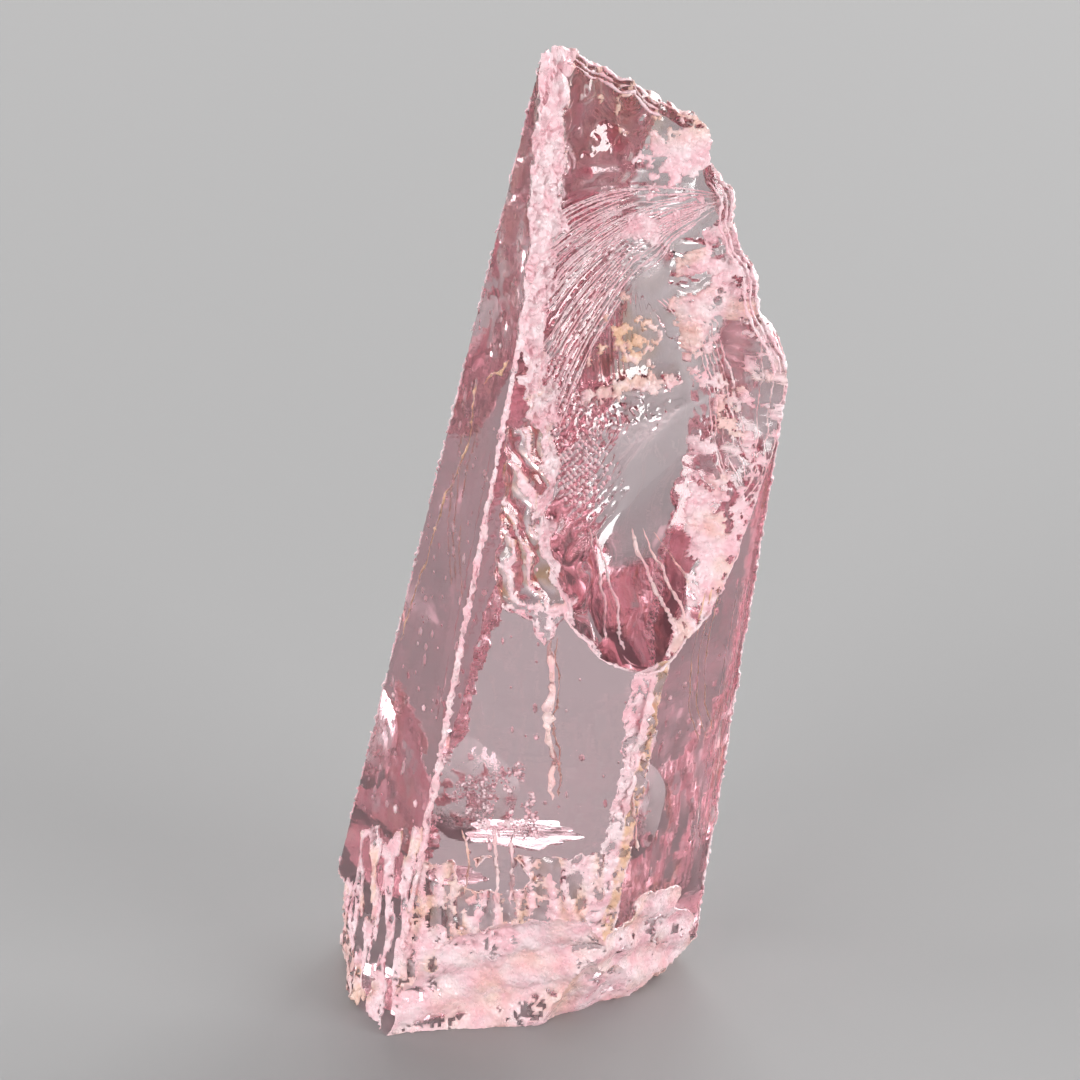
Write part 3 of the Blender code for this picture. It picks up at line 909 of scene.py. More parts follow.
@dataclass
class FootVeil(Sheet):
    """The rubbed place low on the front face, with upright drips between gold hollows whose gold is partly
    stain and partly painted shade.
    """

    def zone(self, u: Array, v: Array) -> Array:
        """How much a place belongs to it."""
        ragged = 0.30 * rough(u, v, 0.8, 111.0) + 0.12 * rough(u, v, 0.3, 112.0)
        top = 1.75 + 0.10 * u + ragged
        notch = fade(np.hypot((u - 0.1) / 1.5, (v - 0.9) / 0.75) + ragged, 0.8, 1.0)
        return (1.0 - fade(v, top - 0.25, top)) * np.maximum(notch, 0.0)

    def drips(self, u: Array, v: Array) -> Array:
        """Upright ropes that wander, from 0 in a hollow to 1 on a rope."""
        return ridged(u * math.pi / 0.72 + 1.9 * rough(u, v * 0.45, 1.2, 113.0))

    def height(self, u: Array, v: Array) -> Array:
        """Drips and lumps, clear of the crystal outside it."""
        rubbed = -0.22 + 0.15 * self.drips(u, v) + 0.08 * rough(u, v * 0.7, 0.8, 114.0)
        rubbed = np.minimum(rubbed + 0.04 * rough(u, v, 0.3, 115.0), -0.02)
        return CLEAR_OF_FACE + (rubbed - CLEAR_OF_FACE) * self.zone(u, v)

    def finish(self, u: Array, v: Array) -> Finish:
        """White on the drips, and golden to pink in the hollows, where the gold is partly painted shade."""
        drips = self.drips(u, v)
        # Painted shade: extra gold in the hollows between the drips stands in for the shade there, on top
        # of random stain.
        stain = np.clip(0.4 * (1.0 - drips) + 0.45 * rough(u, v * 0.6, 0.9, 116.0), 0.0, 1.0)
        crust = 0.50 + 0.40 * fade(drips, 0.35, 0.8) + 0.40 * rough(u, v * 0.35, 0.6, 117.0)
        return Finish(np.full_like(u, 0.55), stain, crust)


@dataclass
class WornCorner(Sheet):
    """A lumpy worn band along the corner between two crystal faces.

    Attributes:
        depth: How far the corner is worn back.
        wander: How much that depth wanders.
        lean: How far the corner leans on the sheet.
        frosted: How much crust the band carries.
        stained: How stained its strip is.
        bead: Width of its beads.
    """

    depth: float = 0.1
    wander: float = 0.1
    lean: float = 0.0
    frosted: float = 0.8
    stained: float = 0.0
    bead: float = 0.38

    def height(self, u: Array, v: Array) -> Array:
        """Lumps and beads along the corner, clear of the crystal away from it."""
        beside = u - self.lean * v
        seed = 50.0 + abs(self.azimuth)
        lumps = self.wander * (rough(beside, v, 1.5, seed) + 0.6 * rough(beside, v, 0.8, seed + 0.5))
        beads = 0.08 * np.abs(rough(beside, v, self.bead, seed + 3.0))
        fine = 0.015 * rough(beside, v, 0.18, seed + 4.0)
        worn = lumps + beads + fine - self.depth
        return np.where(np.abs(beside) < 1.6, worn, CLEAR_OF_FACE)

    def finish(self, u: Array, v: Array) -> Finish:
        """White, with a stained strip along the right of the widest band."""
        beside = u - self.lean * v
        strip = within(beside + 0.12 * rough(u, v, 0.9, 60.0), 0.22, 0.60, 0.1) * self.stained
        crust = self.frosted - 0.2 * strip + 0.15 * rough(beside, v, 0.4, 61.0)
        return Finish(np.full_like(u, 0.6), strip, crust)

    @classmethod
    def between(
        cls, first: FaceName, second: FaceName, low: float, high: float, depth: float, wander: float
    ) -> "WornCorner":
        """The band along the corner of two faces from one height to another.

        Args:
            first: One crystal face.
            second: The face next to it.
            low: Height where the band starts.
            high: Height where it ends.
            depth: How far the corner is worn back.
            wander: How much that depth wanders.

        Returns:
            The sheet of the band.
        """
        start = corner_at(first, second, low)
        end = corner_at(first, second, high)
        bisector = PRISM[first].normal().normalized() + PRISM[second].normal().normalized()
        half = (end - start).length / 2.0 + 1.0
        azimuth = math.degrees(math.atan2(bisector.y, bisector.x))
        elevation = math.degrees(math.atan2(bisector.z, math.hypot(bisector.x, bisector.y)))
        band = cls(
            name=f"corner_{first.value}_{second.value}",
            azimuth=azimuth,
            elevation=elevation,
            centre=tuple((start + end) / 2.0),
            span=(-3.4, 3.4, -half, half),
            step=(0.09, 0.10),
            fine=(-1.7, 1.7, -99.0, 99.0),
            depth=depth,
            wander=wander,
        )
        right, up, _ = band.axes()
        band.lean = (end - start).dot(right) / (end - start).dot(up)
        return band


def plane_point(azimuth: float, elevation: float, distance: float, near: Vector) -> tuple[float, ...]:
    """The point of a plane nearest to a place.

    Args:
        azimuth: Direction of the plane's normal seen from above.
        elevation: How far that normal points up.
        distance: The plane's distance from the bench's origin.
        near: The place.

    Returns:
        The point.
    """
    out = outward(azimuth, elevation)
    return tuple(near + out * (distance - out.dot(near)))


@dataclass
class BrokenHead:
    """The fractures that end the crystal above.

    Attributes:
        top: Azimuth, elevation and distance of the break across the top.
        shoulder: The same for the break down the upper right edge.
    """

    top: tuple[float, float, float] = (50.0, 53.6, 31.15)
    shoulder: tuple[float, float, float] = (12.5, 16.8, 16.3)

    def sheets(self) -> list[Sheet]:
        """The sheets of the head, the big fracture first."""
        scoop = Scoop(
            "scoop",
            -51.96,
            7.13,
            (3.075, -4.608, 24.606),
            (-5.2, 10.4, -12.2, 19.0),
            (0.085, 0.075),
            (-3.6, 6.8, -9.6, 12.6),
        )
        top = TopBreak(
            "top",
            *self.top[:2],
            plane_point(*self.top, Vector((3.0, 0.0, 38.0))),
            (-9.0, 9.0, -9.0, 9.0),
            (0.17, 0.17),
        )
        shoulder = ShoulderBreak(
            "shoulder",
            *self.shoulder[:2],
            plane_point(*self.shoulder, Vector((8.0, 1.0, 31.0))),
            (-9.0, 9.0, -11.0, 12.0),
            (0.17, 0.17),
        )
        ledge = BackLedge("back_ledge", 85.0, 2.6, (4.0, 4.0, 24.0), (-9.0, 9.0, -6.0, 18.0), (0.3, 0.3))
        return [scoop, top, shoulder, ledge]


@dataclass
class BrokenFoot:
    """The flakes, toes and rough patch of the foot.

    Attributes:
        fine: Size of the flakes' grid cells.
    """

    fine: tuple[float, float] = (0.14, 0.14)

    def sheets(self) -> list[Sheet]:
        """The sheets of the foot."""
        wide = (-9.0, 9.0, -5.0, 7.0)
        front = Flake(
            "front_flake",
            -86.8,
            -17.6,
            (-0.5, -5.4, 2.6),
            wide,
            self.fine,
            bend=(0.030, 0.05),
            offset=(-0.4, 0.4),
            deepest=-0.45,
            slant=-0.25,
            seed=31.0,
        )
        right = Flake(
            "right_flake",
            -40.9,
            -21.0,
            (4.9, -3.2, 3.1),
            wide,
            self.fine,
            bend=(0.035, 0.04),
            offset=(0.3, 0.0),
            deepest=-0.40,
            ring=1.6,
            slant=0.3,
            ring_height=0.09,
            seed=37.0,
        )
        corner = Flake(
            "corner_flake",
            -55.0,
            -30.0,
            (2.4, -4.3, 0.9),
            (-8.0, 8.0, -5.0, 7.0),
            self.fine,
            bend=(0.02, 0.05),
            offset=(0.0, -0.5),
            deepest=-0.25,
            ring=1.9,
            seed=61.0,
            upright=True,
        )
        right_toe = Toe("right_toe", -25.0, -48.0, (6.2, -0.4, 0.5), (-6.0, 9.0, -5.0, 5.0), (0.2, 0.2))
        left_toe = Toe(
            "left_toe", -176.0, 2.0, (-6.85, 0.6, 1.4), (-6.0, 6.0, -4.0, 4.0), (0.17, 0.17), ceiling=1.9
        )
        patch = LeftPatch(
            "left_patch", -155.0, 9.0, (-6.0, -3.0, 4.6), (-5.0, 5.0, -6.0, 6.0), (0.10, 0.14)
        )
        back = BackFlake("back_flake", 85.0, 2.6, (0.4, 5.0, 7.0), (-4.0, 7.0, -5.0, 5.0), (0.12, 0.12))
        under = Underside(
            "underside", -90.0, -90.0, (0.0, 0.0, FOOT_HEIGHT), (-8.0, 8.0, -7.0, 7.0), (0.22, 0.22)
        )
        return [front, right, corner, right_toe, left_toe, patch, back, under]


@dataclass
class WornCorners:
    """The worn bands along the six upright corners."""

    def sheets(self) -> list[Sheet]:
        """One band for each corner, the widest and most stained at the front right."""
        front, right_front, right_back = FaceName.FRONT, FaceName.RIGHT_FRONT, FaceName.RIGHT_BACK
        back, left_back, left_front = FaceName.BACK, FaceName.LEFT_BACK, FaceName.LEFT_FRONT
        widest = WornCorner.between(front, right_front, 4.0, 24.0, 0.40, 0.10)
        widest.stained = 0.9
        widest.frosted = 0.72
        return [
            widest,
            WornCorner.between(left_front, front, 2.0, 29.0, 0.08, 0.02),
            WornCorner.between(left_back, left_front, 6.0, 39.0, 0.045, 0.02),
            WornCorner.between(right_front, right_back, 1.0, 25.0, 0.10, 0.04),
            WornCorner.between(right_back, back, 1.0, 34.0, 0.18, 0.08),
            WornCorner.between(back, left_back, 1.0, 37.0, 0.18, 0.08),
        ]


@dataclass
class Bruises:
    """The scar beside the big fracture's rim, and the cracks and the rubbed place low in the body."""

    def sheets(self) -> list[Sheet]:
        """The scar first, then the cracks and the rubbed place."""
        scar = RimScar(
            "rim_scar",
            -95.0,
            0.86,
            tuple(face_place(FaceName.FRONT, 0.35, 20.6)),
            (-2.4, 3.0, -5.6, 5.8),
            (0.08, 0.09),
        )
        parting = Crack(
            "parting",
            -95.0,
            -95.0,
            tuple(face_place(FaceName.FRONT, 0.3, 7.7, 2.2)),
            (-2.1, 2.1, -1.7, 1.7),
            (0.1, 0.1),
        )
        lower = Crack(
            "lower_parting",
            -95.0,
            -97.0,
            tuple(face_place(FaceName.FRONT, -2.3, 6.0, 1.3)),
            (-1.1, 1.1, -1.0, 1.0),
            (0.1, 0.1),
        )
        veil = FootVeil(
            "foot_veil",
            -95.0,
            0.86,
            tuple(face_place(FaceName.FRONT, -0.6, 5.6)),
            (-3.9, 4.6, -4.2, 2.6),
            (0.09, 0.1),
        )
        return [scar, parting, lower, veil]


@dataclass
class Crystal:
    """The clear body of the sapphire.

    Attributes:
        name: Name of the finished piece.
        attribute: Name of the colour attribute that holds frost, stain and crust.
        sheets: The broken surfaces, in the order in which they are cut.
    """

    name: str = "sapphire"
    attribute: str = "finish"
    sheets: list[Sheet] = field(default_factory=list)

    def block(self) -> bpy.types.Object:
        """The prism before it broke: a block bisected by the six crystal faces and the foot.

        Returns:
            The prism on the bench.
        """
        bpy.ops.object.select_all(action="DESELECT")
        bpy.ops.mesh.primitive_cube_add(size=BENCH_BLOCK, location=(0.0, 0.0, 0.0))
        prism = bpy.context.object
        prism.name = self.name
        prism.data.name = self.name
        bpy.ops.object.mode_set(mode="EDIT")
        cuts = [(face.point(), face.normal()) for face in PRISM.values()]
        cuts.append((Vector((0.0, 0.0, FOOT_HEIGHT)), Vector((0.0, 0.0, -1.0))))
        cuts.append((Vector((0.0, 0.0, PRISM_TOP)), Vector((0.0, 0.0, 1.0))))
        for point, normal in cuts:
            bpy.ops.mesh.select_all(action="SELECT")
            bpy.ops.mesh.bisect(
                plane_co=tuple(point), plane_no=tuple(normal.normalized()), use_fill=True, clear_outer=True
            )
        bpy.ops.mesh.select_all(action="SELECT")
        bpy.ops.mesh.normals_make_consistent(inside=False)
        bpy.ops.object.mode_set(mode="OBJECT")
        return prism

    def break_away(self, prism: bpy.types.Object) -> None:
        """Takes away what lies outside every sheet, and marks each broken face with its sheet.

        Args:
            prism: The prism on the bench.
        """
        marks = [bpy.data.materials.new(f"mark_{i}") for i in range(len(self.sheets) + 1)]
        for mark in marks:
            prism.data.materials.append(mark)
        for index, sheet in enumerate(self.sheets, start=1):
            cutter = sheet.cutter()
            for mark in marks:
                cutter.data.materials.append(mark)
            cutter.data.polygons.foreach_set("material_index", [index] * len(cutter.data.polygons))
            bpy.context.view_layer.objects.active = prism
            cut = prism.modifiers.new(sheet.name, "BOOLEAN")
            cut.operation = "DIFFERENCE"
            cut.solver = "MANIFOLD"
            cut.object = cutter
            bpy.ops.object.modifier_apply(modifier=cut.name)
            bpy.data.objects.remove(cutter)
            LOG.info("cut %s: %d faces", sheet.name, len(prism.data.polygons))

    def paint_finish(self, piece: bpy.types.Object) -> None:
        """Writes frost, stain and crust at each corner of each face.

        Args:
            piece: The cut crystal, whose material indices name its sheets.
        """
        mesh = piece.data
        vertex_of, _, totals = face_layout(mesh)
        marks = np.empty(len(mesh.polygons), np.int64)
        mesh.polygons.foreach_get("material_index", marks)
        mark_of = np.repeat(marks, totals)
        places = vertex_places(mesh)
        values = np.zeros((len(vertex_of), 4))
        values[:, 3] = 1.0
        for index, sheet in enumerate(self.sheets, start=1):
            chosen = np.nonzero(mark_of == index)[0]
            if not len(chosen):
                continue
            vertices, back = np.unique(vertex_of[chosen], return_inverse=True)
            inverse = np.array(sheet.placing().inverted())
            local = places[vertices] @ inverse[:3, :3].T + inverse[:3, 3]
            finish = sheet.finish(local[:, 0], local[:, 1])
            columns = np.stack([finish.frost, finish.stain, finish.crust], axis=-1)
            values[chosen, :3] = np.clip(columns, 0.0, 1.0)[back]
        plain = np.nonzero(mark_of == 0)[0]
        values[plain, 1] = self.face_stain(places[vertex_of[plain]])
        layer = mesh.color_attributes.new(name=self.attribute, type="FLOAT_COLOR", domain="CORNER")
        layer.data.foreach_set("color", values.ravel())

    def face_stain(self, places: Array) -> Array:
        """How stained the crystal faces are: only the upper body, in broad patches."""
        patches = rough(places[:, 0] + places[:, 1], places[:, 2], 4.0, 62.0)
        return 0.45 * fade(places[:, 2], 21.0, 31.0) * fade(patches, -0.4, 0.4)

    def mark_sharp(self, piece: bpy.types.Object) -> None:
        """Keeps the borders between crystal faces and fractures crisp, and the rest softly shaded.

        Args:
            piece: The cut crystal.
        """
        bpy.ops.object.select_all(action="DESELECT")
        piece.select_set(True)
        bpy.context.view_layer.objects.active = piece
        bpy.ops.object.shade_smooth_by_angle(angle=math.radians(SMOOTH_ANGLE))
        mesh = piece.data
        marks = [polygon.material_index for polygon in mesh.polygons]
        seen: dict[tuple[int, int], int] = {}
        sharp = set()
        for polygon in mesh.polygons:
            for key in polygon.edge_keys:
                other = seen.setdefault(key, marks[polygon.index])
                if other != marks[polygon.index]:
                    sharp.add(key)
        for edge in mesh.edges:
            if edge.key in sharp:
                edge.use_edge_sharp = True

    def build(self) -> bpy.types.Object:
        """Cuts the crystal on the bench.

        Returns:
            The crystal, still in millimetres.
        """
        piece = self.block()
        self.break_away(piece)
        self.paint_finish(piece)
        self.mark_sharp(piece)
        marks = [mark for mark in piece.data.materials if mark]
        piece.data.materials.clear()
        for mark in marks:
            bpy.data.materials.remove(mark)
        piece.data.polygons.foreach_set("material_index", [0] * len(piece.data.polygons))
        return piece


@dataclass
class Crust:
    """The crust of crushed crystal on bruised places, and on the blade where it is painted sheen: thin
    scabs that follow the broken surface.

    Attributes:
        name: Name of the finished piece.
        attribute: Name of the colour attribute that holds frost, stain and crust.
        thickness: How thick a scab is, half of it above the clear body's surface.
        least: How much crust a place needs to carry a scab.
        patchiness: How much that changes from place to place.
        crumple: How far the scabs' lumps rise.
        least_faces: How many faces the smallest scab has on one side.
    """

    name: str = "crushed_crust"
    attribute: str = "finish"
    thickness: float = 0.05
    least: float = 0.55
    patchiness: float = 0.38
    crumple: float = 0.09
    least_faces: int = 14

    def build(self, crystal: bpy.types.Object) -> bpy.types.Object:
        """Lifts the scabs off a copy of the crystal's surface.

        Args:
            crystal: The finished clear body on the bench.

        Returns:
            The scabs, as one object on the bench.
        """
        bpy.ops.object.select_all(action="DESELECT")
        crystal.select_set(True)
        bpy.context.view_layer.objects.active = crystal
        bpy.ops.object.duplicate()
        scabs = bpy.context.object
        scabs.name = self.name
        scabs.data.name = self.name
        bpy.ops.object.mode_set(mode="EDIT")
        bpy.ops.mesh.select_mode(type="FACE")
        bpy.ops.mesh.select_all(action="DESELECT")
        bpy.ops.object.mode_set(mode="OBJECT")
        scabs.data.polygons.foreach_set("select", self.without_crumbs(scabs.data, self.bare(scabs.data)))
        bpy.ops.object.mode_set(mode="EDIT")
        bpy.ops.mesh.delete(type="FACE")
        bpy.ops.object.mode_set(mode="OBJECT")
        self.crumple_up(scabs.data)
        wall = scabs.modifiers.new("thickness", "SOLIDIFY")
        wall.thickness = self.thickness
        wall.offset = 0.0
        bpy.ops.object.modifier_apply(modifier=wall.name)
        LOG.info("%s: %d faces", self.name, len(scabs.data.polygons))
        return scabs

    def bare(self, mesh: bpy.types.Mesh) -> Array:
        """Picks the faces that carry no scab.

        Args:
            mesh: The copy of the crystal.

        Returns:
            True for each face without one.
        """
        colours = np.empty(len(mesh.loops) * 4)
        mesh.color_attributes[self.attribute].data.foreach_get("color", colours)
        _, starts, _ = face_layout(mesh)
        middles = np.empty(len(mesh.polygons) * 3)
        mesh.polygons.foreach_get("center", middles)
        middles = middles.reshape(-1, 3)
        crust = np.add.reduceat(colours.reshape(-1, 4)[:, 2], starts) / 3.0
        patches = solid_rough(middles, 0.42, 63.0) + 0.6 * solid_rough(middles, 0.17, 64.0)
        unsure = self.patchiness * fade(crust, 0.05, 0.25) * (1.0 - 0.75 * fade(crust, 0.8, 0.95))
        return crust + unsure * patches < self.least

    def without_crumbs(self, mesh: bpy.types.Mesh, bare: Array) -> Array:
        """Takes away scabs of only a few faces too.

        Args:
            mesh: The copy of the crystal.
            bare: Which of its faces carry no scab.

        Returns:
            Which faces carry none once the smallest scabs are gone.
        """
        vertex_of, starts, totals = face_layout(mesh)
        covered = np.repeat(~bare, totals)
        island = np.arange(len(mesh.vertices))
        while True:
            lowest = np.repeat(np.minimum.reduceat(island[vertex_of], starts), totals)
            joined = island.copy()
            np.minimum.at(joined, vertex_of[covered], lowest[covered])
            joined = joined[joined]
            if np.array_equal(joined, island):
                break
            island = joined
        home = island[vertex_of[starts]]
        sizes = np.bincount(home[~bare], minlength=len(mesh.vertices))
        return bare | (sizes[home] < self.least_faces)

    def crumple_up(self, mesh: bpy.types.Mesh) -> None:
        """Raises lumps on the scabs, above the foot's underside.

        Args:
            mesh: The scabs while they are still one face thick.
        """
        places = vertex_places(mesh)
        normals = np.empty(len(mesh.vertices) * 3)
        mesh.vertices.foreach_get("normal", normals)
        lumps = np.abs(solid_rough(places, 0.24, 65.0)) + 0.3 * solid_rough(places, 0.11, 66.0)
        places = places + normals.reshape(-1, 3) * (self.crumple * lumps)[:, None]
        places[:, 2] = np.maximum(places[:, 2], FOOT_HEIGHT + self.thickness / 2.0)
        mesh.vertices.foreach_set("co", places.ravel())


def solid_rough(places: Array, wave: float, seed: float) -> Array:
    """Smooth noise through space between about -1 and 1 whose bumps are one wave wide."""
    scaled = (places / wave + seed).tolist()
    return 1.6 * np.array([noise.noise(place) for place in scaled])


@dataclass(frozen=True)
class Thread:
    """A healed thread: a string of small lumps along a line.

    Attributes:
        route: Places that it passes, on the bench.
        radius: Its thickness at a lump.
        gold: How stained it is, from 0 to 1.
        waver: How far it strays from the line.
        broken: How deep its gaps are, from 0 to 1.
    """

    route: Route
    radius: float
    gold: float = 0.0
    waver: float = 0.08
    broken: float = 0.65

    def draw(self, curve: bpy.types.Curve, seed: float) -> None:
        """Adds the thread to a curve.

        Args:
            curve: The curve, whose bevel is one millimetre.
            seed: Picks the thread's lumps.
        """
        stops = np.array([tuple(place) for place in self.route])
        lengths = np.concatenate([[0.0], np.cumsum(np.linalg.norm(np.diff(stops, axis=0), axis=1))])
        along = np.linspace(0.0, lengths[-1], max(6, int(lengths[-1] / (0.9 * self.radius + 0.03))))
        still = np.zeros_like(along)
        centre = np.stack([np.interp(along, lengths, stops[:, axis]) for axis in range(3)], axis=-1)
        for axis in range(3):
            stray = rough(along, still + axis * 7.0, 1.1, seed) * self.waver
            jitter = rough(along, still + axis * 5.0, 0.3, seed + 0.5) * min(self.waver, self.radius * 0.5)
            centre[:, axis] += stray + jitter
        beads = 0.35 + 1.0 * np.abs(rough(along, still, 2.6 * self.radius, seed + 1.0))
        gaps = 1.0 - self.broken * (1.0 - fade(rough(along, still, 1.6, seed + 2.0), -0.7, -0.2))
        ends = np.minimum(1.0, np.minimum(along, lengths[-1] - along) / (3.0 * self.radius) + 0.15)
        line = curve.splines.new("POLY")
        line.points.add(len(along) - 1)
        line.points.foreach_set("co", np.column_stack([centre, np.ones(len(along))]).ravel())
        line.points.foreach_set("radius", beads * gaps * ends * self.radius)


@dataclass(frozen=True)
class Grain:
    """A small grain or drop of fluid.

    Attributes:
        place: Where it is on the bench.
        radius: How thick it is.
        longer: How many times longer it is than thick.
        along: The direction of its length.
    """

    place: Vector
    radius: float
    longer: float = 1.0
    along: Vector = field(default_factory=lambda: Vector((0.0, 0.0, 1.0)))


@dataclass
class Inclusions:
    """The healed threads, fluid specks and crushed grains in and on the clear body.

    Attributes:
        head: The breaks of the head, with the big fracture, on whose floor some of them lie, first.
        bowl: A place in the middle of its bowl.
        name: Name of the finished piece.
        attribute: Name of the colour attribute that holds their stain.
    """

    head: list[Sheet]
    bowl: tuple[float, float] = (2.2, -5.2)
    name: str = "healed_inclusions"
    attribute: str = "finish"

    @property
    def scoop(self) -> Scoop:
        """The big fracture."""
        return self.head[0]

    def on_front(self, *stops: tuple[float, float], depth: float = 0.12) -> Route:
        """Places just under the front face, from pairs of reach across it and height."""
        return tuple(face_place(FaceName.FRONT, across, height, depth) for across, height in stops)

    def on_scoop(self, u: Array, v: Array, lift: float = 0.0) -> Route:
        """Places on the floor of the big fracture, or lifted a little off it."""
        placing = self.scoop.placing()
        heights = self.scoop.height(u, v) + lift
        return tuple(placing @ Vector(place) for place in zip(u, v, heights))

    def along_scoop(self, *stops: tuple[float, float], shift: float = 0.0) -> Route:
        """Follows that floor.

        Args:
            stops: Pairs of the floor's own coordinates.
            shift: How far the whole line is moved to the right.

        Returns:
            Places between the pairs, as far as they are inside the crystal's faces.
        """
        pairs = np.array(stops)
        dense = np.linspace(0.0, len(pairs) - 1.0, 8 * len(pairs))
        u = np.interp(dense, np.arange(len(pairs)), pairs[:, 0]) + shift
        v = np.interp(dense, np.arange(len(pairs)), pairs[:, 1])
        return tuple(place for place in self.on_scoop(u, v) if above_faces(place) < 0.0)

    def in_body(self, place: Vector) -> bool:
        """Tells whether a place is inside the crystal faces and under every break of the head.

        Args:
            place: A place on the bench.

        Returns:
            True if it is in the clear body.
        """
        if above_faces(place) > 0.0:
            return False
        for sheet in self.head:
            seen = sheet.placing().inverted() @ place
            if seen.z > sheet.height(np.array([seen.x]), np.array([seen.y]))[0]:
                return False
        return True

    def inside(self, grains: list[Grain]) -> list[Grain]:
        """Only the grains that lie in the clear body."""
        return [grain for grain in grains if self.in_body(grain.place)]

    def rim(self) -> Route:
        """Finds where the big fracture's floor leaves the crystal's faces below.

        Returns:
            Places along its lower rim.
        """
        places = []
        for degrees in range(200, 352, 4):
            way = (math.cos(math.radians(degrees)), math.sin(math.radians(degrees)))
            reach = np.linspace(0.5, 9.0, 170)
            floor = self.on_scoop(self.bowl[0] + way[0] * reach, self.bowl[1] + way[1] * reach)
            places.append(next(place for place in floor if above_faces(place) > -0.02))
        return tuple(places)

    def corner(self, first: FaceName, second: FaceName, span: tuple[float, float], inset: float) -> Route:
        """Follows a corner of the crystal, set in a little.

        Args:
            first: One face.
            second: The face next to it.
            span: Lowest and highest place.
            inset: How far inside the corner the places are.

        Returns:
            Places down the corner.
        """
        out = (PRISM[first].normal().normalized() + PRISM[second].normal().normalized()).normalized()
        heights = np.linspace(span[1], span[0], 12)
        return tuple(corner_at(first, second, height) - out * inset for height in heights)

    def across_face(self, name: FaceName, share: float, height: float, depth: float) -> Vector:
        """A place under a face, at a share of the way from its left to its right corner."""
        order = list(FaceName)
        before = corner_at(order[order.index(name) - 1], name, height)
        after = corner_at(name, order[(order.index(name) + 1) % len(order)], height)
        return before.lerp(after, share) - PRISM[name].normal().normalized() * depth

    def along_break(
        self, other: Sheet, stops: list[tuple[float, float]], way: tuple[float, float]
    ) -> list[Vector]:
        """Finds where the big fracture's floor meets another break.

        Args:
            other: The other break.
            stops: Places on the floor to start from.
            way: The direction to go from each.

        Returns:
            The first place past the other break from each start.
        """
        inverse = other.placing().inverted()
        met = []
        for stop in stops:
            reach = np.linspace(0.0, 9.0, 120)
            for place in self.on_scoop(stop[0] + way[0] * reach, stop[1] + way[1] * reach):
                seen = inverse @ place
                if above_faces(place) > -0.1:
                    break
                if seen.z > other.height(np.array([seen.x]), np.array([seen.y]))[0]:
                    met.append(place)
                    break
        return met

    def break_lines(self) -> list[Thread]:
        """Draws bright parallel lines inside the crests of the head's two other breaks.

        Returns:
            Three lines for each.
        """
        breaks = (
            (self.head[1], [(u, 9.0) for u in np.linspace(-1.0, 4.5, 14)], (0.0, 1.0)),
            (self.head[2], [(5.0, v) for v in np.linspace(8.5, -2.5, 20)], (1.0, 0.0)),
        )
        lines = []
        for other, stops, way in breaks:
            met = self.along_break(other, stops, way)
            if len(met) > 3:
                back = (self.scoop.placing().to_3x3() @ Vector((*way, 0.0))).normalized()
                for inset in (0.05, 0.3, 0.55):
                    lines.append(Thread(tuple(place - back * inset for place in met), 0.09, 0.0, 0.04))
        return lines

    def hackle_lines(self) -> list[Thread]:
        """Draws crisp lines that fan out from the strike point along the ridges there.

        Returns:
            The lines, some of them close to the strike point and most of them farther out.
        """
        chance = random.Random(3)
        lines = []
        for turn in np.linspace(-0.40, 0.62, 74):
            near = chance.random() < 0.4
            start = chance.uniform(0.5, 1.4) if near else chance.uniform(2.4, 4.2)
            end = start + chance.uniform(1.2, 2.6) if near else 9.3
            left = np.linspace(start, end, 22)
            u = self.scoop.fan[0] - left
            v = self.scoop.fan[1] - left * math.tan(turn + chance.uniform(-0.01, 0.01)) - 0.035 * left**2
            free = (self.scoop.wall(u, v) < 0.3) & (self.scoop.from_left_rim(u, v) > 1.1)
            if free.sum() > 6:
                route = self.on_scoop(u[free], v[free], 0.02)
                lines.append(Thread(route, chance.uniform(0.035, 0.06), 0.0, 0.015, 0.5))
        return lines

    def wall_lines(self) -> list[Thread]:
        """Draws nested curves along the leaf on the wall, and lines on the face at the right.

        Returns:
            The curves of the leaf's two sides, the straight lines and the stained curves.
        """
        left_side = ((3.97, 3.94), (4.75, 2.9), (5.2, 1.0), (5.35, -0.9), (5.26, -3.31))
        right_side = ((7.0, 2.6), (7.05, 0.6), (6.85, -1.6), (6.3, -3.4), (5.5, -4.6))
        face = FaceName.RIGHT_FRONT
        heights = (17.0, 13.0, 9.0, 5.0)
        bow = ((17.6, 0.0), (15.0, -0.04), (12.4, 0.06), (10.6, 0.24))
        lines = []
        for shift in (0.17 * index for index in range(6)):
            lines.append(Thread(self.along_scoop(*left_side, shift=shift), 0.055, 0.05, 0.03))
        for shift in (-0.2 * index for index in range(3)):
            lines.append(Thread(self.along_scoop(*right_side, shift=shift), 0.05, 0.1, 0.03))
        for share in (0.80, 0.87, 0.93):
            straight = tuple(self.across_face(face, share, height, 0.06) for height in heights)
            lines.append(Thread(straight, 0.05, 0.05, 0.04, 0.8))
        for share in (0.42, 0.50, 0.58):
            bent = tuple(self.across_face(face, share + more, height, 0.1) for height, more in bow)
            lines.append(Thread(bent, 0.055, 0.9, 0.05, 0.8))
        return lines

    def bowl_ropes(self) -> list[Thread]:
        """Draws the ropes that hang down the bowl.

        Returns:
            Two pale ones at the left and three more stained ones at the right.
        """
        ropes = (
            (((0.7, -4.6), (0.85, -5.8), (0.5, -7.3), (-0.3, -8.4)), 0.09, 0.05),
            (((1.0, -4.9), (1.15, -6.0), (0.85, -7.5), (0.1, -8.8)), 0.09, 0.05),
            (((2.45, -5.0), (2.3, -6.6), (2.1, -8.2), (1.6, -9.6)), 0.11, 0.2),
            (((2.75, -5.1), (2.75, -6.4), (2.6, -7.6), (2.2, -9.2)), 0.10, 0.25),
            (((3.05, -5.2), (3.2, -6.2), (3.1, -7.2)), 0.07, 0.4),
        )
        return [Thread(self.along_scoop(*stops), radius, gold, 0.04) for stops, radius, gold in ropes]

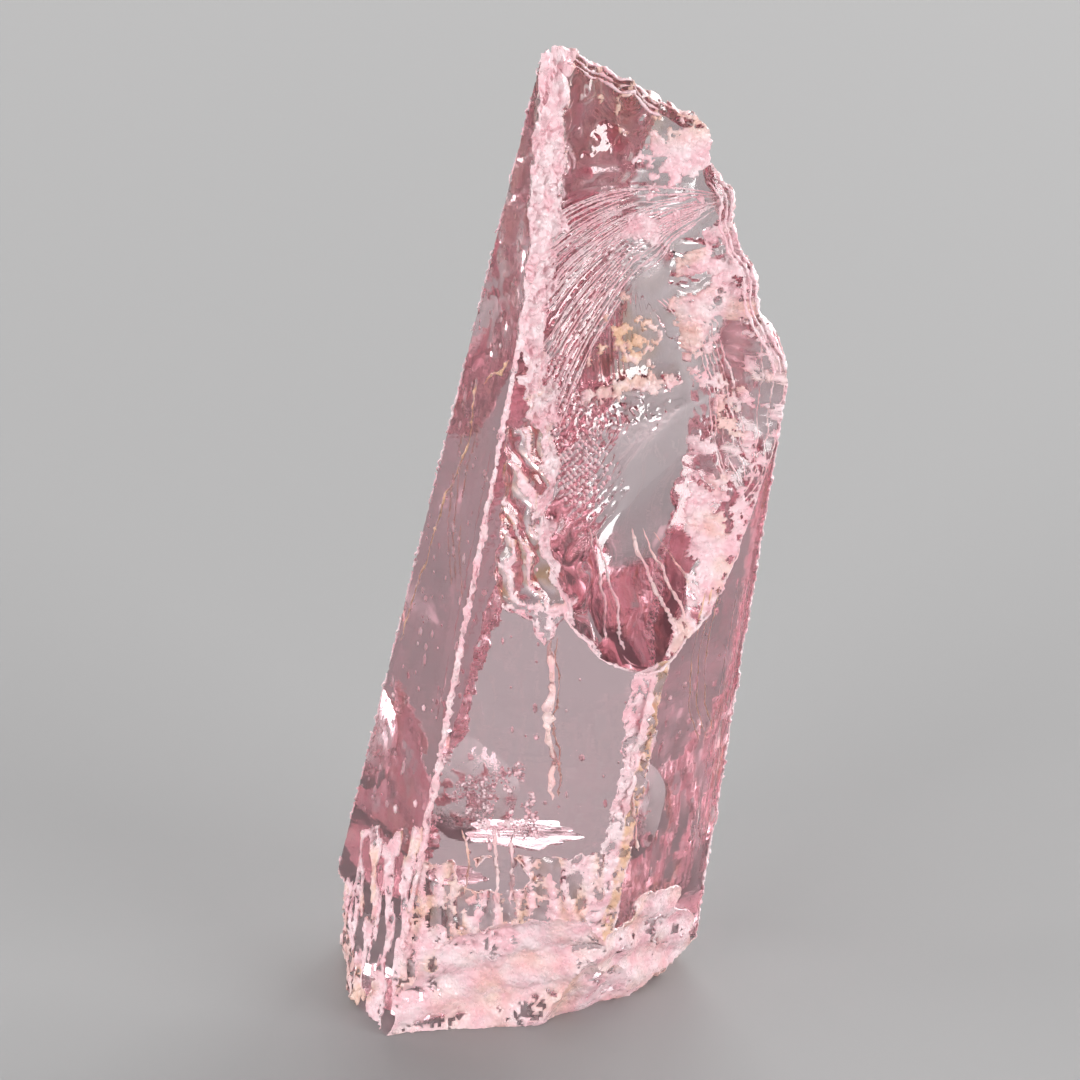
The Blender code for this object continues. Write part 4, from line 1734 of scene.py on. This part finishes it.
    def threads(self) -> list[Thread]:
        """Lists every thread.

        Returns:
            The corners' beaded strings, the vein, the ropes of the foot and the bowl, and the finer lines.
        """
        left_front, front, right_front = FaceName.LEFT_FRONT, FaceName.FRONT, FaceName.RIGHT_FRONT
        vein = ((1.45, 16.5), (1.57, 14.4), (1.34, 13.2), (1.61, 11.5), (1.53, 9.8))
        beside = tuple((across + 0.22, height) for across, height in vein)
        golden = ((-1.0, 14.2), (-0.4, 16.5), (0.6, 20.0), (2.1, 23.7), (1.9, 26.0))
        slope = [face_place(left_front, across, height, 0.06) for across, height in golden]
        curl = ((2.6, 26.2), (3.2, 26.9), (3.8, 27.1), (4.2, 27.8))
        hook = [face_place(left_front, across, height, 0.06) for across, height in curl]
        return [
            Thread(self.corner(left_front, front, (2.5, 23.5), 0.04), 0.17, 0.05, 0.09, 0.5),
            Thread(self.corner(front, right_front, (9.0, 15.5), 0.30), 0.22, 0.05, 0.14),
            Thread(self.on_front(*vein, depth=0.03), 0.22, 0.3, 0.24, 0.3),
            Thread(self.rim(), 0.09, 0.05, 0.04),
            Thread(self.on_front(*beside, depth=0.3), 0.08, 0.5, 0.16),
            Thread(self.on_front((-0.64, 8.42), (-0.60, 6.6), (-0.49, 5.22), depth=0.05), 0.15, 0.15),
            Thread(self.on_front((0.05, 8.24), (0.02, 6.6), (-0.03, 5.24), depth=0.05), 0.11, 0.1),
            Thread(self.on_front((-1.9, 8.3), (-1.6, 7.0), (-1.75, 5.6), depth=0.05), 0.08, 0.6),
            *self.bowl_ropes(),
            Thread(tuple(slope), 0.09, 1.0, 0.12),
            Thread(tuple(hook), 0.11, 1.0, 0.05),
            Thread((Vector((4.1, -5.9, 10.1)), Vector((4.3, -5.1, 7.2))), 0.10, 0.35, 0.04),
            *self.hackle_lines(),
            *self.wall_lines(),
            *self.break_lines(),
        ]

    def specks(self) -> list[Grain]:
        """Scatters drops of fluid under the faces, thickest at the front left.

        Returns:
            The drops.
        """
        chance = random.Random(7)
        swarms = (
            (FaceName.LEFT_FRONT, 130, 4.0, 34.0),
            (FaceName.FRONT, 60, 3.0, 20.0),
            (FaceName.RIGHT_FRONT, 30, 4.0, 17.0),
            (FaceName.LEFT_BACK, 30, 6.0, 34.0),
        )
        grains = []
        for name, count, low, high in swarms:
            for _ in range(count):
                share = chance.uniform(0.06, 0.94)
                place = self.across_face(name, share, chance.uniform(low, high), chance.uniform(0.05, 0.5))
                radius = 0.055 + 0.10 * chance.random() ** 2
                grains.append(Grain(place, radius, 1.0 + 1.8 * chance.random() ** 3))
        return self.inside(grains)

    def veil(self) -> list[Grain]:
        """Scatters a healed veil low on the front: fine drops that gather in wisps.

        Returns:
            The drops.
        """
        chance = random.Random(11)
        tries = np.array([(chance.uniform(-2.6, 2.6), chance.uniform(-1.9, 1.9)) for _ in range(2600)])
        u, v = tries[:, 0], tries[:, 1]
        wisps = rough(u, v * 1.3, 1.3, 31.5) + 0.5 * rough(u, v, 0.5, 32.5)
        wisps = wisps - 0.45 * np.hypot(u / 2.4, v / 1.7) ** 2
        bow = 0.05 + 0.03 * rough(u, v, 1.8, 33.5)
        middle = (-1.6, 9.6)
        grains = []
        for across, height, depth, wisp in zip(u, v, bow, wisps):
            if wisp > -0.2:
                deep = depth + chance.uniform(-0.01, 0.02)
                place = face_place(FaceName.FRONT, across + middle[0], height + middle[1], deep)
                grains.append(Grain(place, 0.03 + 0.08 * chance.random() ** 2))
        return self.inside(grains)

    def scale_grains(self) -> list[Grain]:
        """Sets rows of rice-like grains where the fracture's floor is scaled.

        Returns:
            The grains, with a gap here and there.
        """
        chance = random.Random(5)
        lean = self.scoop.placing().to_3x3() @ Vector((0.62, -0.78, 0.0))
        grains = []
        for row in range(21):
            for step in range(11):
                along = -0.9 + 0.31 * row
                across = -1.15 + 0.225 * step + 0.1 * (row % 2) + chance.uniform(-0.03, 0.03)
                along = along - 0.20 * across**2 + chance.uniform(-0.03, 0.03)
                if chance.random() < 0.18:
                    continue
                u = np.array([-1.38 + 0.437 * along + 0.899 * across])
                v = np.array([1.45 - 0.899 * along + 0.437 * across])
                grains.append(Grain(self.on_scoop(u, v, 0.01)[0], chance.uniform(0.055, 0.085), 1.7, lean))
        return grains

    def as_mesh(self, grains: list[Grain]) -> bpy.types.Object:
        """Shapes all grains after one small ball.

        Args:
            grains: The grains.

        Returns:
            One object with a ball of twenty faces for each.
        """
        bpy.ops.object.select_all(action="DESELECT")
        bpy.ops.mesh.primitive_ico_sphere_add(subdivisions=1, radius=1.0)
        ball = bpy.context.object
        corners = vertex_places(ball.data)
        faces = np.array([tuple(polygon.vertices) for polygon in ball.data.polygons])
        bpy.data.objects.remove(ball)
        places = []
        for grain in grains:
            turned = np.array(grain.along.to_track_quat("Z", "Y").to_matrix())
            shaped = corners * (grain.radius, grain.radius, grain.radius * grain.longer)
            places.append(shaped @ turned.T + np.array(grain.place))
        all_faces = np.concatenate([faces + index * len(corners) for index in range(len(grains))])
        mesh = bpy.data.meshes.new("grains")
        mesh.from_pydata(np.concatenate(places).tolist(), [], all_faces.tolist())
        made = bpy.data.objects.new("grains", mesh)
        bpy.context.scene.collection.objects.link(made)
        return made

    def as_strings(self, threads: list[Thread]) -> list[bpy.types.Object]:
        """Draws all threads, those of one stain together.

        Args:
            threads: The threads.

        Returns:
            One closed and painted mesh for each stain.
        """
        made = []
        for gold in sorted({thread.gold for thread in threads}):
            curve = bpy.data.curves.new("threads", "CURVE")
            curve.dimensions = "3D"
            curve.bevel_depth = 1.0
            curve.bevel_resolution = 1
            curve.use_fill_caps = True
            for index, thread in enumerate(threads):
                if thread.gold == gold:
                    thread.draw(curve, 101.0 + 3.0 * index)
            strings = bpy.data.objects.new("threads", curve)
            bpy.context.scene.collection.objects.link(strings)
            bpy.ops.object.select_all(action="DESELECT")
            strings.select_set(True)
            bpy.context.view_layer.objects.active = strings
            bpy.ops.object.convert(target="MESH")
            made.append(bpy.context.object)
            self.paint(made[-1], gold)
        return made

    def build(self) -> bpy.types.Object:
        """Makes them all and joins them.

        Returns:
            The inclusions, as one object on the bench.
        """
        grains = self.as_mesh([*self.specks(), *self.veil(), *self.scale_grains()])
        self.paint(grains, 0.0)
        made = [grains, *self.as_strings(self.threads())]
        bpy.ops.object.select_all(action="DESELECT")
        for piece in made:
            piece.select_set(True)
        bpy.context.view_layer.objects.active = made[0]
        bpy.ops.object.join()
        whole = bpy.context.object
        whole.name = self.name
        whole.data.name = self.name
        bpy.ops.object.shade_smooth()
        LOG.info("%s: %d faces", self.name, len(whole.data.polygons))
        return whole

    def paint(self, piece: bpy.types.Object, gold: float) -> None:
        """Gives a piece one stain all over.

        Args:
            piece: The piece.
            gold: How stained it is, from 0 to 1.
        """
        layer = piece.data.color_attributes.new(name=self.attribute, type="FLOAT_COLOR", domain="CORNER")
        layer.data.foreach_set("color", [0.8, gold, 1.0, 1.0] * len(piece.data.loops))


@dataclass
class NodeDesk:
    """Adds shader nodes to one material.

    Attributes:
        material: The material.
    """

    material: bpy.types.Material

    def __post_init__(self) -> None:
        """Adds the nodes that every material here reads."""
        self.material.use_nodes = True
        self.tree = self.material.node_tree
        self.surface = self.tree.nodes["Principled BSDF"]
        self.places = self.tree.nodes.new("ShaderNodeTexCoord").outputs["Object"]

    def painted(self, attribute: str) -> bpy.types.NodeOutputs:
        """Reads a colour attribute.

        Args:
            attribute: Its name.

        Returns:
            Its three channels.
        """
        node = self.tree.nodes.new("ShaderNodeAttribute")
        node.attribute_name = attribute
        split = self.tree.nodes.new("ShaderNodeSeparateColor")
        self.tree.links.new(node.outputs["Color"], split.inputs["Color"])
        return split.outputs

    def noise(self, scale: float, detail: float, stretch: tuple[float, ...] = (1.0, 1.0, 1.0)) -> Socket:
        """Noise on the piece's own coordinates.

        Args:
            scale: Bumps per metre.
            detail: Octaves of finer noise.
            stretch: How much denser the bumps are along each axis.

        Returns:
            The noise's socket.
        """
        texture = self.tree.nodes.new("ShaderNodeTexNoise")
        texture.inputs["Scale"].default_value = scale
        texture.inputs["Detail"].default_value = detail
        mapping = self.tree.nodes.new("ShaderNodeMapping")
        mapping.inputs["Scale"].default_value = stretch
        self.tree.links.new(self.places, mapping.inputs["Vector"])
        self.tree.links.new(mapping.outputs["Vector"], texture.inputs["Vector"])
        return texture.outputs["Fac"]

    def ranged(self, value: Socket, source: tuple[float, float], result: tuple[float, float]) -> Socket:
        """Maps one range of a value to another, held at its ends.

        Args:
            value: The value's socket.
            source: The range that it comes in.
            result: The range that it goes to.

        Returns:
            The result's socket.
        """
        node = self.tree.nodes.new("ShaderNodeMapRange")
        node.inputs["From Min"].default_value, node.inputs["From Max"].default_value = source
        node.inputs["To Min"].default_value, node.inputs["To Max"].default_value = result
        self.tree.links.new(value, node.inputs["Value"])
        return node.outputs["Result"]

    def combined(self, first: Socket, second: Socket) -> Socket:
        """Multiplies two values.

        Args:
            first: One value's socket.
            second: The other's.

        Returns:
            The product's socket.
        """
        node = self.tree.nodes.new("ShaderNodeMath")
        node.operation = "MULTIPLY"
        self.tree.links.new(first, node.inputs[0])
        self.tree.links.new(second, node.inputs[1])
        return node.outputs["Value"]

    def mixed(self, amount: Socket, first: Colour | Socket, second: Colour) -> Socket:
        """Mixes two colours.

        Args:
            amount: The socket that says how much of the second there is.
            first: One colour, or its socket.
            second: The other colour.

        Returns:
            The mixture's socket.
        """
        node = self.tree.nodes.new("ShaderNodeMix")
        node.data_type = "RGBA"
        if isinstance(first, Socket):
            self.tree.links.new(first, node.inputs["A"])
        else:
            node.inputs["A"].default_value = first
        node.inputs["B"].default_value = second
        self.tree.links.new(amount, node.inputs["Factor"])
        return node.outputs["Result"]

    def raised(
        self, height: Socket, strength: float, distance: float, under: Socket | None = None
    ) -> Socket:
        """A bumped normal.

        Args:
            height: The relief's socket.
            strength: How strongly it shows.
            distance: How high it is, in metres.
            under: Another bumped normal that this one lies on.

        Returns:
            The normal's socket.
        """
        node = self.tree.nodes.new("ShaderNodeBump")
        node.inputs["Strength"].default_value = strength
        node.inputs["Distance"].default_value = distance
        self.tree.links.new(height, node.inputs["Height"])
        if under is not None:
            self.tree.links.new(under, node.inputs["Normal"])
        return node.outputs["Normal"]

    def dress(self, socket: str, value: Socket) -> None:
        """Feeds one input of the surface."""
        self.tree.links.new(value, self.surface.inputs[socket])


@dataclass(frozen=True)
class SapphireFinish:
    """Clear pink sapphire with frosted and stained fractures.

    Attributes:
        ior: Index of refraction of corundum.
        absorbed: Colour that the body keeps.
        density: How strongly it absorbs the rest, per metre.
        tint: Base colour of clear places.
        gold: Base colour of stained places, and of the painted shade in the foot veil's hollows.
        clear: Roughness of a crystal face.
        frosted: Roughness of a frosted fracture.
    """

    ior: float = 1.76
    absorbed: Colour = (0.90, 0.06, 0.24, 1.0)
    density: float = 21.0
    tint: Colour = (1.0, 0.94, 0.955, 1.0)
    gold: Colour = (0.68, 0.40, 0.16, 1.0)
    clear: float = 0.012
    frosted: float = 0.42

    def material(self, attribute: str) -> bpy.types.Material:
        """Builds the material.

        Args:
            attribute: Name of the colour attribute with frost, stain and crust.

        Returns:
            The material.
        """
        desk = NodeDesk(bpy.data.materials.new("pink_sapphire_crystal"))
        desk.surface.inputs["IOR"].default_value = self.ior
        desk.surface.inputs["Transmission Weight"].default_value = 1.0
        body = desk.tree.nodes.new("ShaderNodeVolumeAbsorption")
        body.inputs["Color"].default_value = self.absorbed
        body.inputs["Density"].default_value = self.density
        desk.tree.links.new(body.outputs["Volume"], desk.tree.nodes["Material Output"].inputs["Volume"])

        channels = desk.painted(attribute)
        cloud = desk.ranged(desk.noise(2600.0, 4.0), (0.3, 0.62), (0.35, 1.1))
        frost = desk.combined(channels["Red"], cloud)
        desk.dress("Roughness", desk.ranged(frost, (0.0, 1.0), (self.clear, self.frosted)))

        patches = desk.ranged(desk.noise(900.0, 3.0), (0.38, 0.6), (0.0, 1.0))
        stained = desk.combined(channels["Green"], patches)
        desk.dress("Base Color", desk.mixed(stained, self.tint, self.gold))

        striae = desk.noise(420.0, 3.0, (1.0, 1.0, 9.0))
        growth = desk.raised(striae, 0.12, 0.00003)
        grain = desk.combined(channels["Red"], desk.noise(9000.0, 3.0))
        desk.dress("Normal", desk.raised(grain, 0.5, 0.00004, growth))
        return desk.material


@dataclass(frozen=True)
class CrushedFinish:
    """Crushed and healed crystal: white to pink, in places stained gold, and only a little see-through.

    Attributes:
        white: Colour of fresh crushed crystal; with pink it also colours the painted sheen on the blade.
        pink: Colour of its thicker parts.
        gold: Colour of stained parts, and of painted shade in the foot veil's hollows.
        transmission: Share of the light that goes through.
        ior: Index of refraction, lower than the clear body's because it is loose.
    """

    white: Colour = (1.0, 0.79, 0.82, 1.0)
    pink: Colour = (0.95, 0.55, 0.61, 1.0)
    gold: Colour = (0.86, 0.53, 0.34, 1.0)
    transmission: float = 0.25
    ior: float = 1.6

    def material(self, attribute: str) -> bpy.types.Material:
        """Builds the material.

        Args:
            attribute: Name of the colour attribute with frost, stain and crust.

        Returns:
            The material.
        """
        desk = NodeDesk(bpy.data.materials.new("crushed_sapphire"))
        desk.surface.inputs["IOR"].default_value = self.ior
        desk.surface.inputs["Transmission Weight"].default_value = self.transmission
        channels = desk.painted(attribute)
        blotches = desk.ranged(desk.noise(1100.0, 4.0), (0.36, 0.64), (0.0, 1.0))
        fresh = desk.mixed(blotches, self.white, self.pink)
        stains = desk.ranged(desk.noise(1700.0, 3.0), (0.35, 0.5), (0.3, 1.0))
        stained = desk.combined(channels["Green"], stains)
        desk.dress("Base Color", desk.mixed(stained, fresh, self.gold))
        desk.dress("Roughness", desk.ranged(desk.noise(3200.0, 3.0), (0.3, 0.7), (0.15, 0.5)))
        chunks = desk.raised(desk.noise(2400.0, 2.0), 0.8, 0.00014)
        desk.dress("Normal", desk.raised(desk.noise(7000.0, 4.0), 0.7, 0.00006, chunks))
        return desk.material


@dataclass(frozen=True)
class SoftLight:
    """A square soft light aimed at the middle of the crystal.

    Attributes:
        name: Its name.
        place: Where it stands, in metres.
        size: Length of its side, in metres.
        power: Its power in watts.
    """

    name: str
    place: tuple[float, float, float]
    size: float
    power: float

    def build(self) -> None:
        """Adds the light."""
        data = bpy.data.lights.new(self.name, "AREA")
        data.size = self.size
        data.energy = self.power
        lamp = bpy.data.objects.new(self.name, data)
        bpy.context.scene.collection.objects.link(lamp)
        lamp.location = self.place
        aim = Vector((0.0, 0.0, 0.02)) - Vector(self.place)
        lamp.rotation_euler = aim.to_track_quat("-Z", "Y").to_euler()


@dataclass
class Studio:
    """A plain pale floor, soft lights and a camera at the photograph's angle.

    Attributes:
        target: Where the camera looks, in millimetres on the bench.
        camera: Where the camera stands.
        lens: Its focal length on a 36 mm sensor.
        lights: The lights.
        floor_colour: Colour of the floor.
        air: Colour of the dim surrounding.
    """

    target: tuple[float, float, float] = (0.5835, 7.0598, 14.4747)
    camera: tuple[float, float, float] = (0.5835, -370.4337, 198.6006)
    lens: float = 359.9
    lights: tuple[SoftLight, ...] = (
        SoftLight("left", (-0.50, -0.05, 0.20), 0.38, 1.6),
        SoftLight("right", (0.44, 0.30, 0.12), 0.30, 2.2),
        SoftLight("back_left", (-0.28, 0.45, 0.12), 0.34, 1.1),
        SoftLight("back_right", (0.30, 0.45, 0.10), 0.26, 3.4),
        SoftLight("back_high", (0.0, 0.45, 0.26), 0.30, 1.0),
        SoftLight("front_left", (-0.38, -0.42, 0.17), 0.32, 2.6),
        SoftLight("front_right", (0.44, -0.32, 0.12), 0.34, 3.5),
    )
    floor_colour: Colour = (0.30, 0.296, 0.296, 1.0)
    air: Colour = (0.035, 0.035, 0.037, 1.0)

    def in_frame(self, place: tuple[float, float, float]) -> Vector:
        """A place on the bench as a place in the frame, in metres."""
        moved = Vector(place) - Vector((*OUTLINE_MIDDLE, FOOT_HEIGHT))
        return moved * MM

    def place_camera(self) -> None:
        """Adds the camera and makes it the scene's."""
        data = bpy.data.cameras.new("camera")
        data.sensor_width = 36.0
        data.lens = self.lens
        data.clip_start = 0.01
        data.clip_end = 20.0
        camera = bpy.data.objects.new("camera", data)
        bpy.context.scene.collection.objects.link(camera)
        camera.location = self.in_frame(self.camera)
        aim = self.in_frame(self.target) - self.in_frame(self.camera)
        camera.rotation_euler = aim.to_track_quat("-Z", "Y").to_euler()
        bpy.context.scene.camera = camera

    def floor(self) -> bpy.types.Object:
        """Adds the floor.

        Returns:
            The floor.
        """
        bpy.ops.object.select_all(action="DESELECT")
        bpy.ops.mesh.primitive_plane_add(size=3.0)
        floor = bpy.context.object
        floor.name = "studio_floor"
        material = bpy.data.materials.new("studio_floor")
        material.use_nodes = True
        surface = material.node_tree.nodes["Principled BSDF"]
        surface.inputs["Base Color"].default_value = self.floor_colour
        surface.inputs["Roughness"].default_value = 0.6
        floor.data.materials.append(material)
        return floor

    def world(self) -> None:
        """Adds a dim even surrounding."""
        world = bpy.data.worlds.new("studio")
        world.use_nodes = True
        world.node_tree.nodes["Background"].inputs["Color"].default_value = self.air
        bpy.context.scene.world = world

    def build(self) -> None:
        """Sets up the studio."""
        self.floor()
        for light in self.lights:
            light.build()
        self.world()
        self.place_camera()
        scene = bpy.context.scene
        scene.cycles.max_bounces = 24
        scene.cycles.transmission_bounces = 20
        scene.cycles.glossy_bounces = 10
        scene.view_settings.view_transform = "Standard"


def set_in_frame(piece: bpy.types.Object, material: bpy.types.Material) -> None:
    """Dresses a piece, brings it from the bench to its place and real size in the frame, and hands it over.

    Args:
        piece: The piece on the bench, in millimetres.
        material: What it is made of.
    """
    moved = Matrix.Translation(Vector((-OUTLINE_MIDDLE[0], -OUTLINE_MIDDLE[1], -FOOT_HEIGHT)))
    piece.matrix_world = Matrix.Scale(MM, 4) @ moved
    bpy.ops.object.select_all(action="DESELECT")
    piece.select_set(True)
    bpy.context.view_layer.objects.active = piece
    bpy.ops.object.transform_apply(location=True, rotation=True, scale=True)
    piece.data.materials.clear()
    piece.data.materials.append(material)
    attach(piece, "root")
    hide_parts("sapphire_crystal")


def main() -> None:
    """Builds the crystal around the frame, dresses it and sets up the studio."""
    logging.basicConfig(level=logging.INFO, format="%(name)s: %(message)s")
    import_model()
    head = BrokenHead().sheets()
    healed = Inclusions(head).build()
    crystal = Crystal(sheets=[*head, *BrokenFoot().sheets(), *WornCorners().sheets(), *Bruises().sheets()])
    body = crystal.build()
    LOG.info("%s: %d faces", body.name, len(body.data.polygons))
    scabs = Crust().build(body)
    crushed = CrushedFinish().material(crystal.attribute)
    set_in_frame(body, SapphireFinish().material(crystal.attribute))
    set_in_frame(scabs, crushed)
    set_in_frame(healed, crushed)
    Studio().build()


if __name__ == "__main__":
    main()
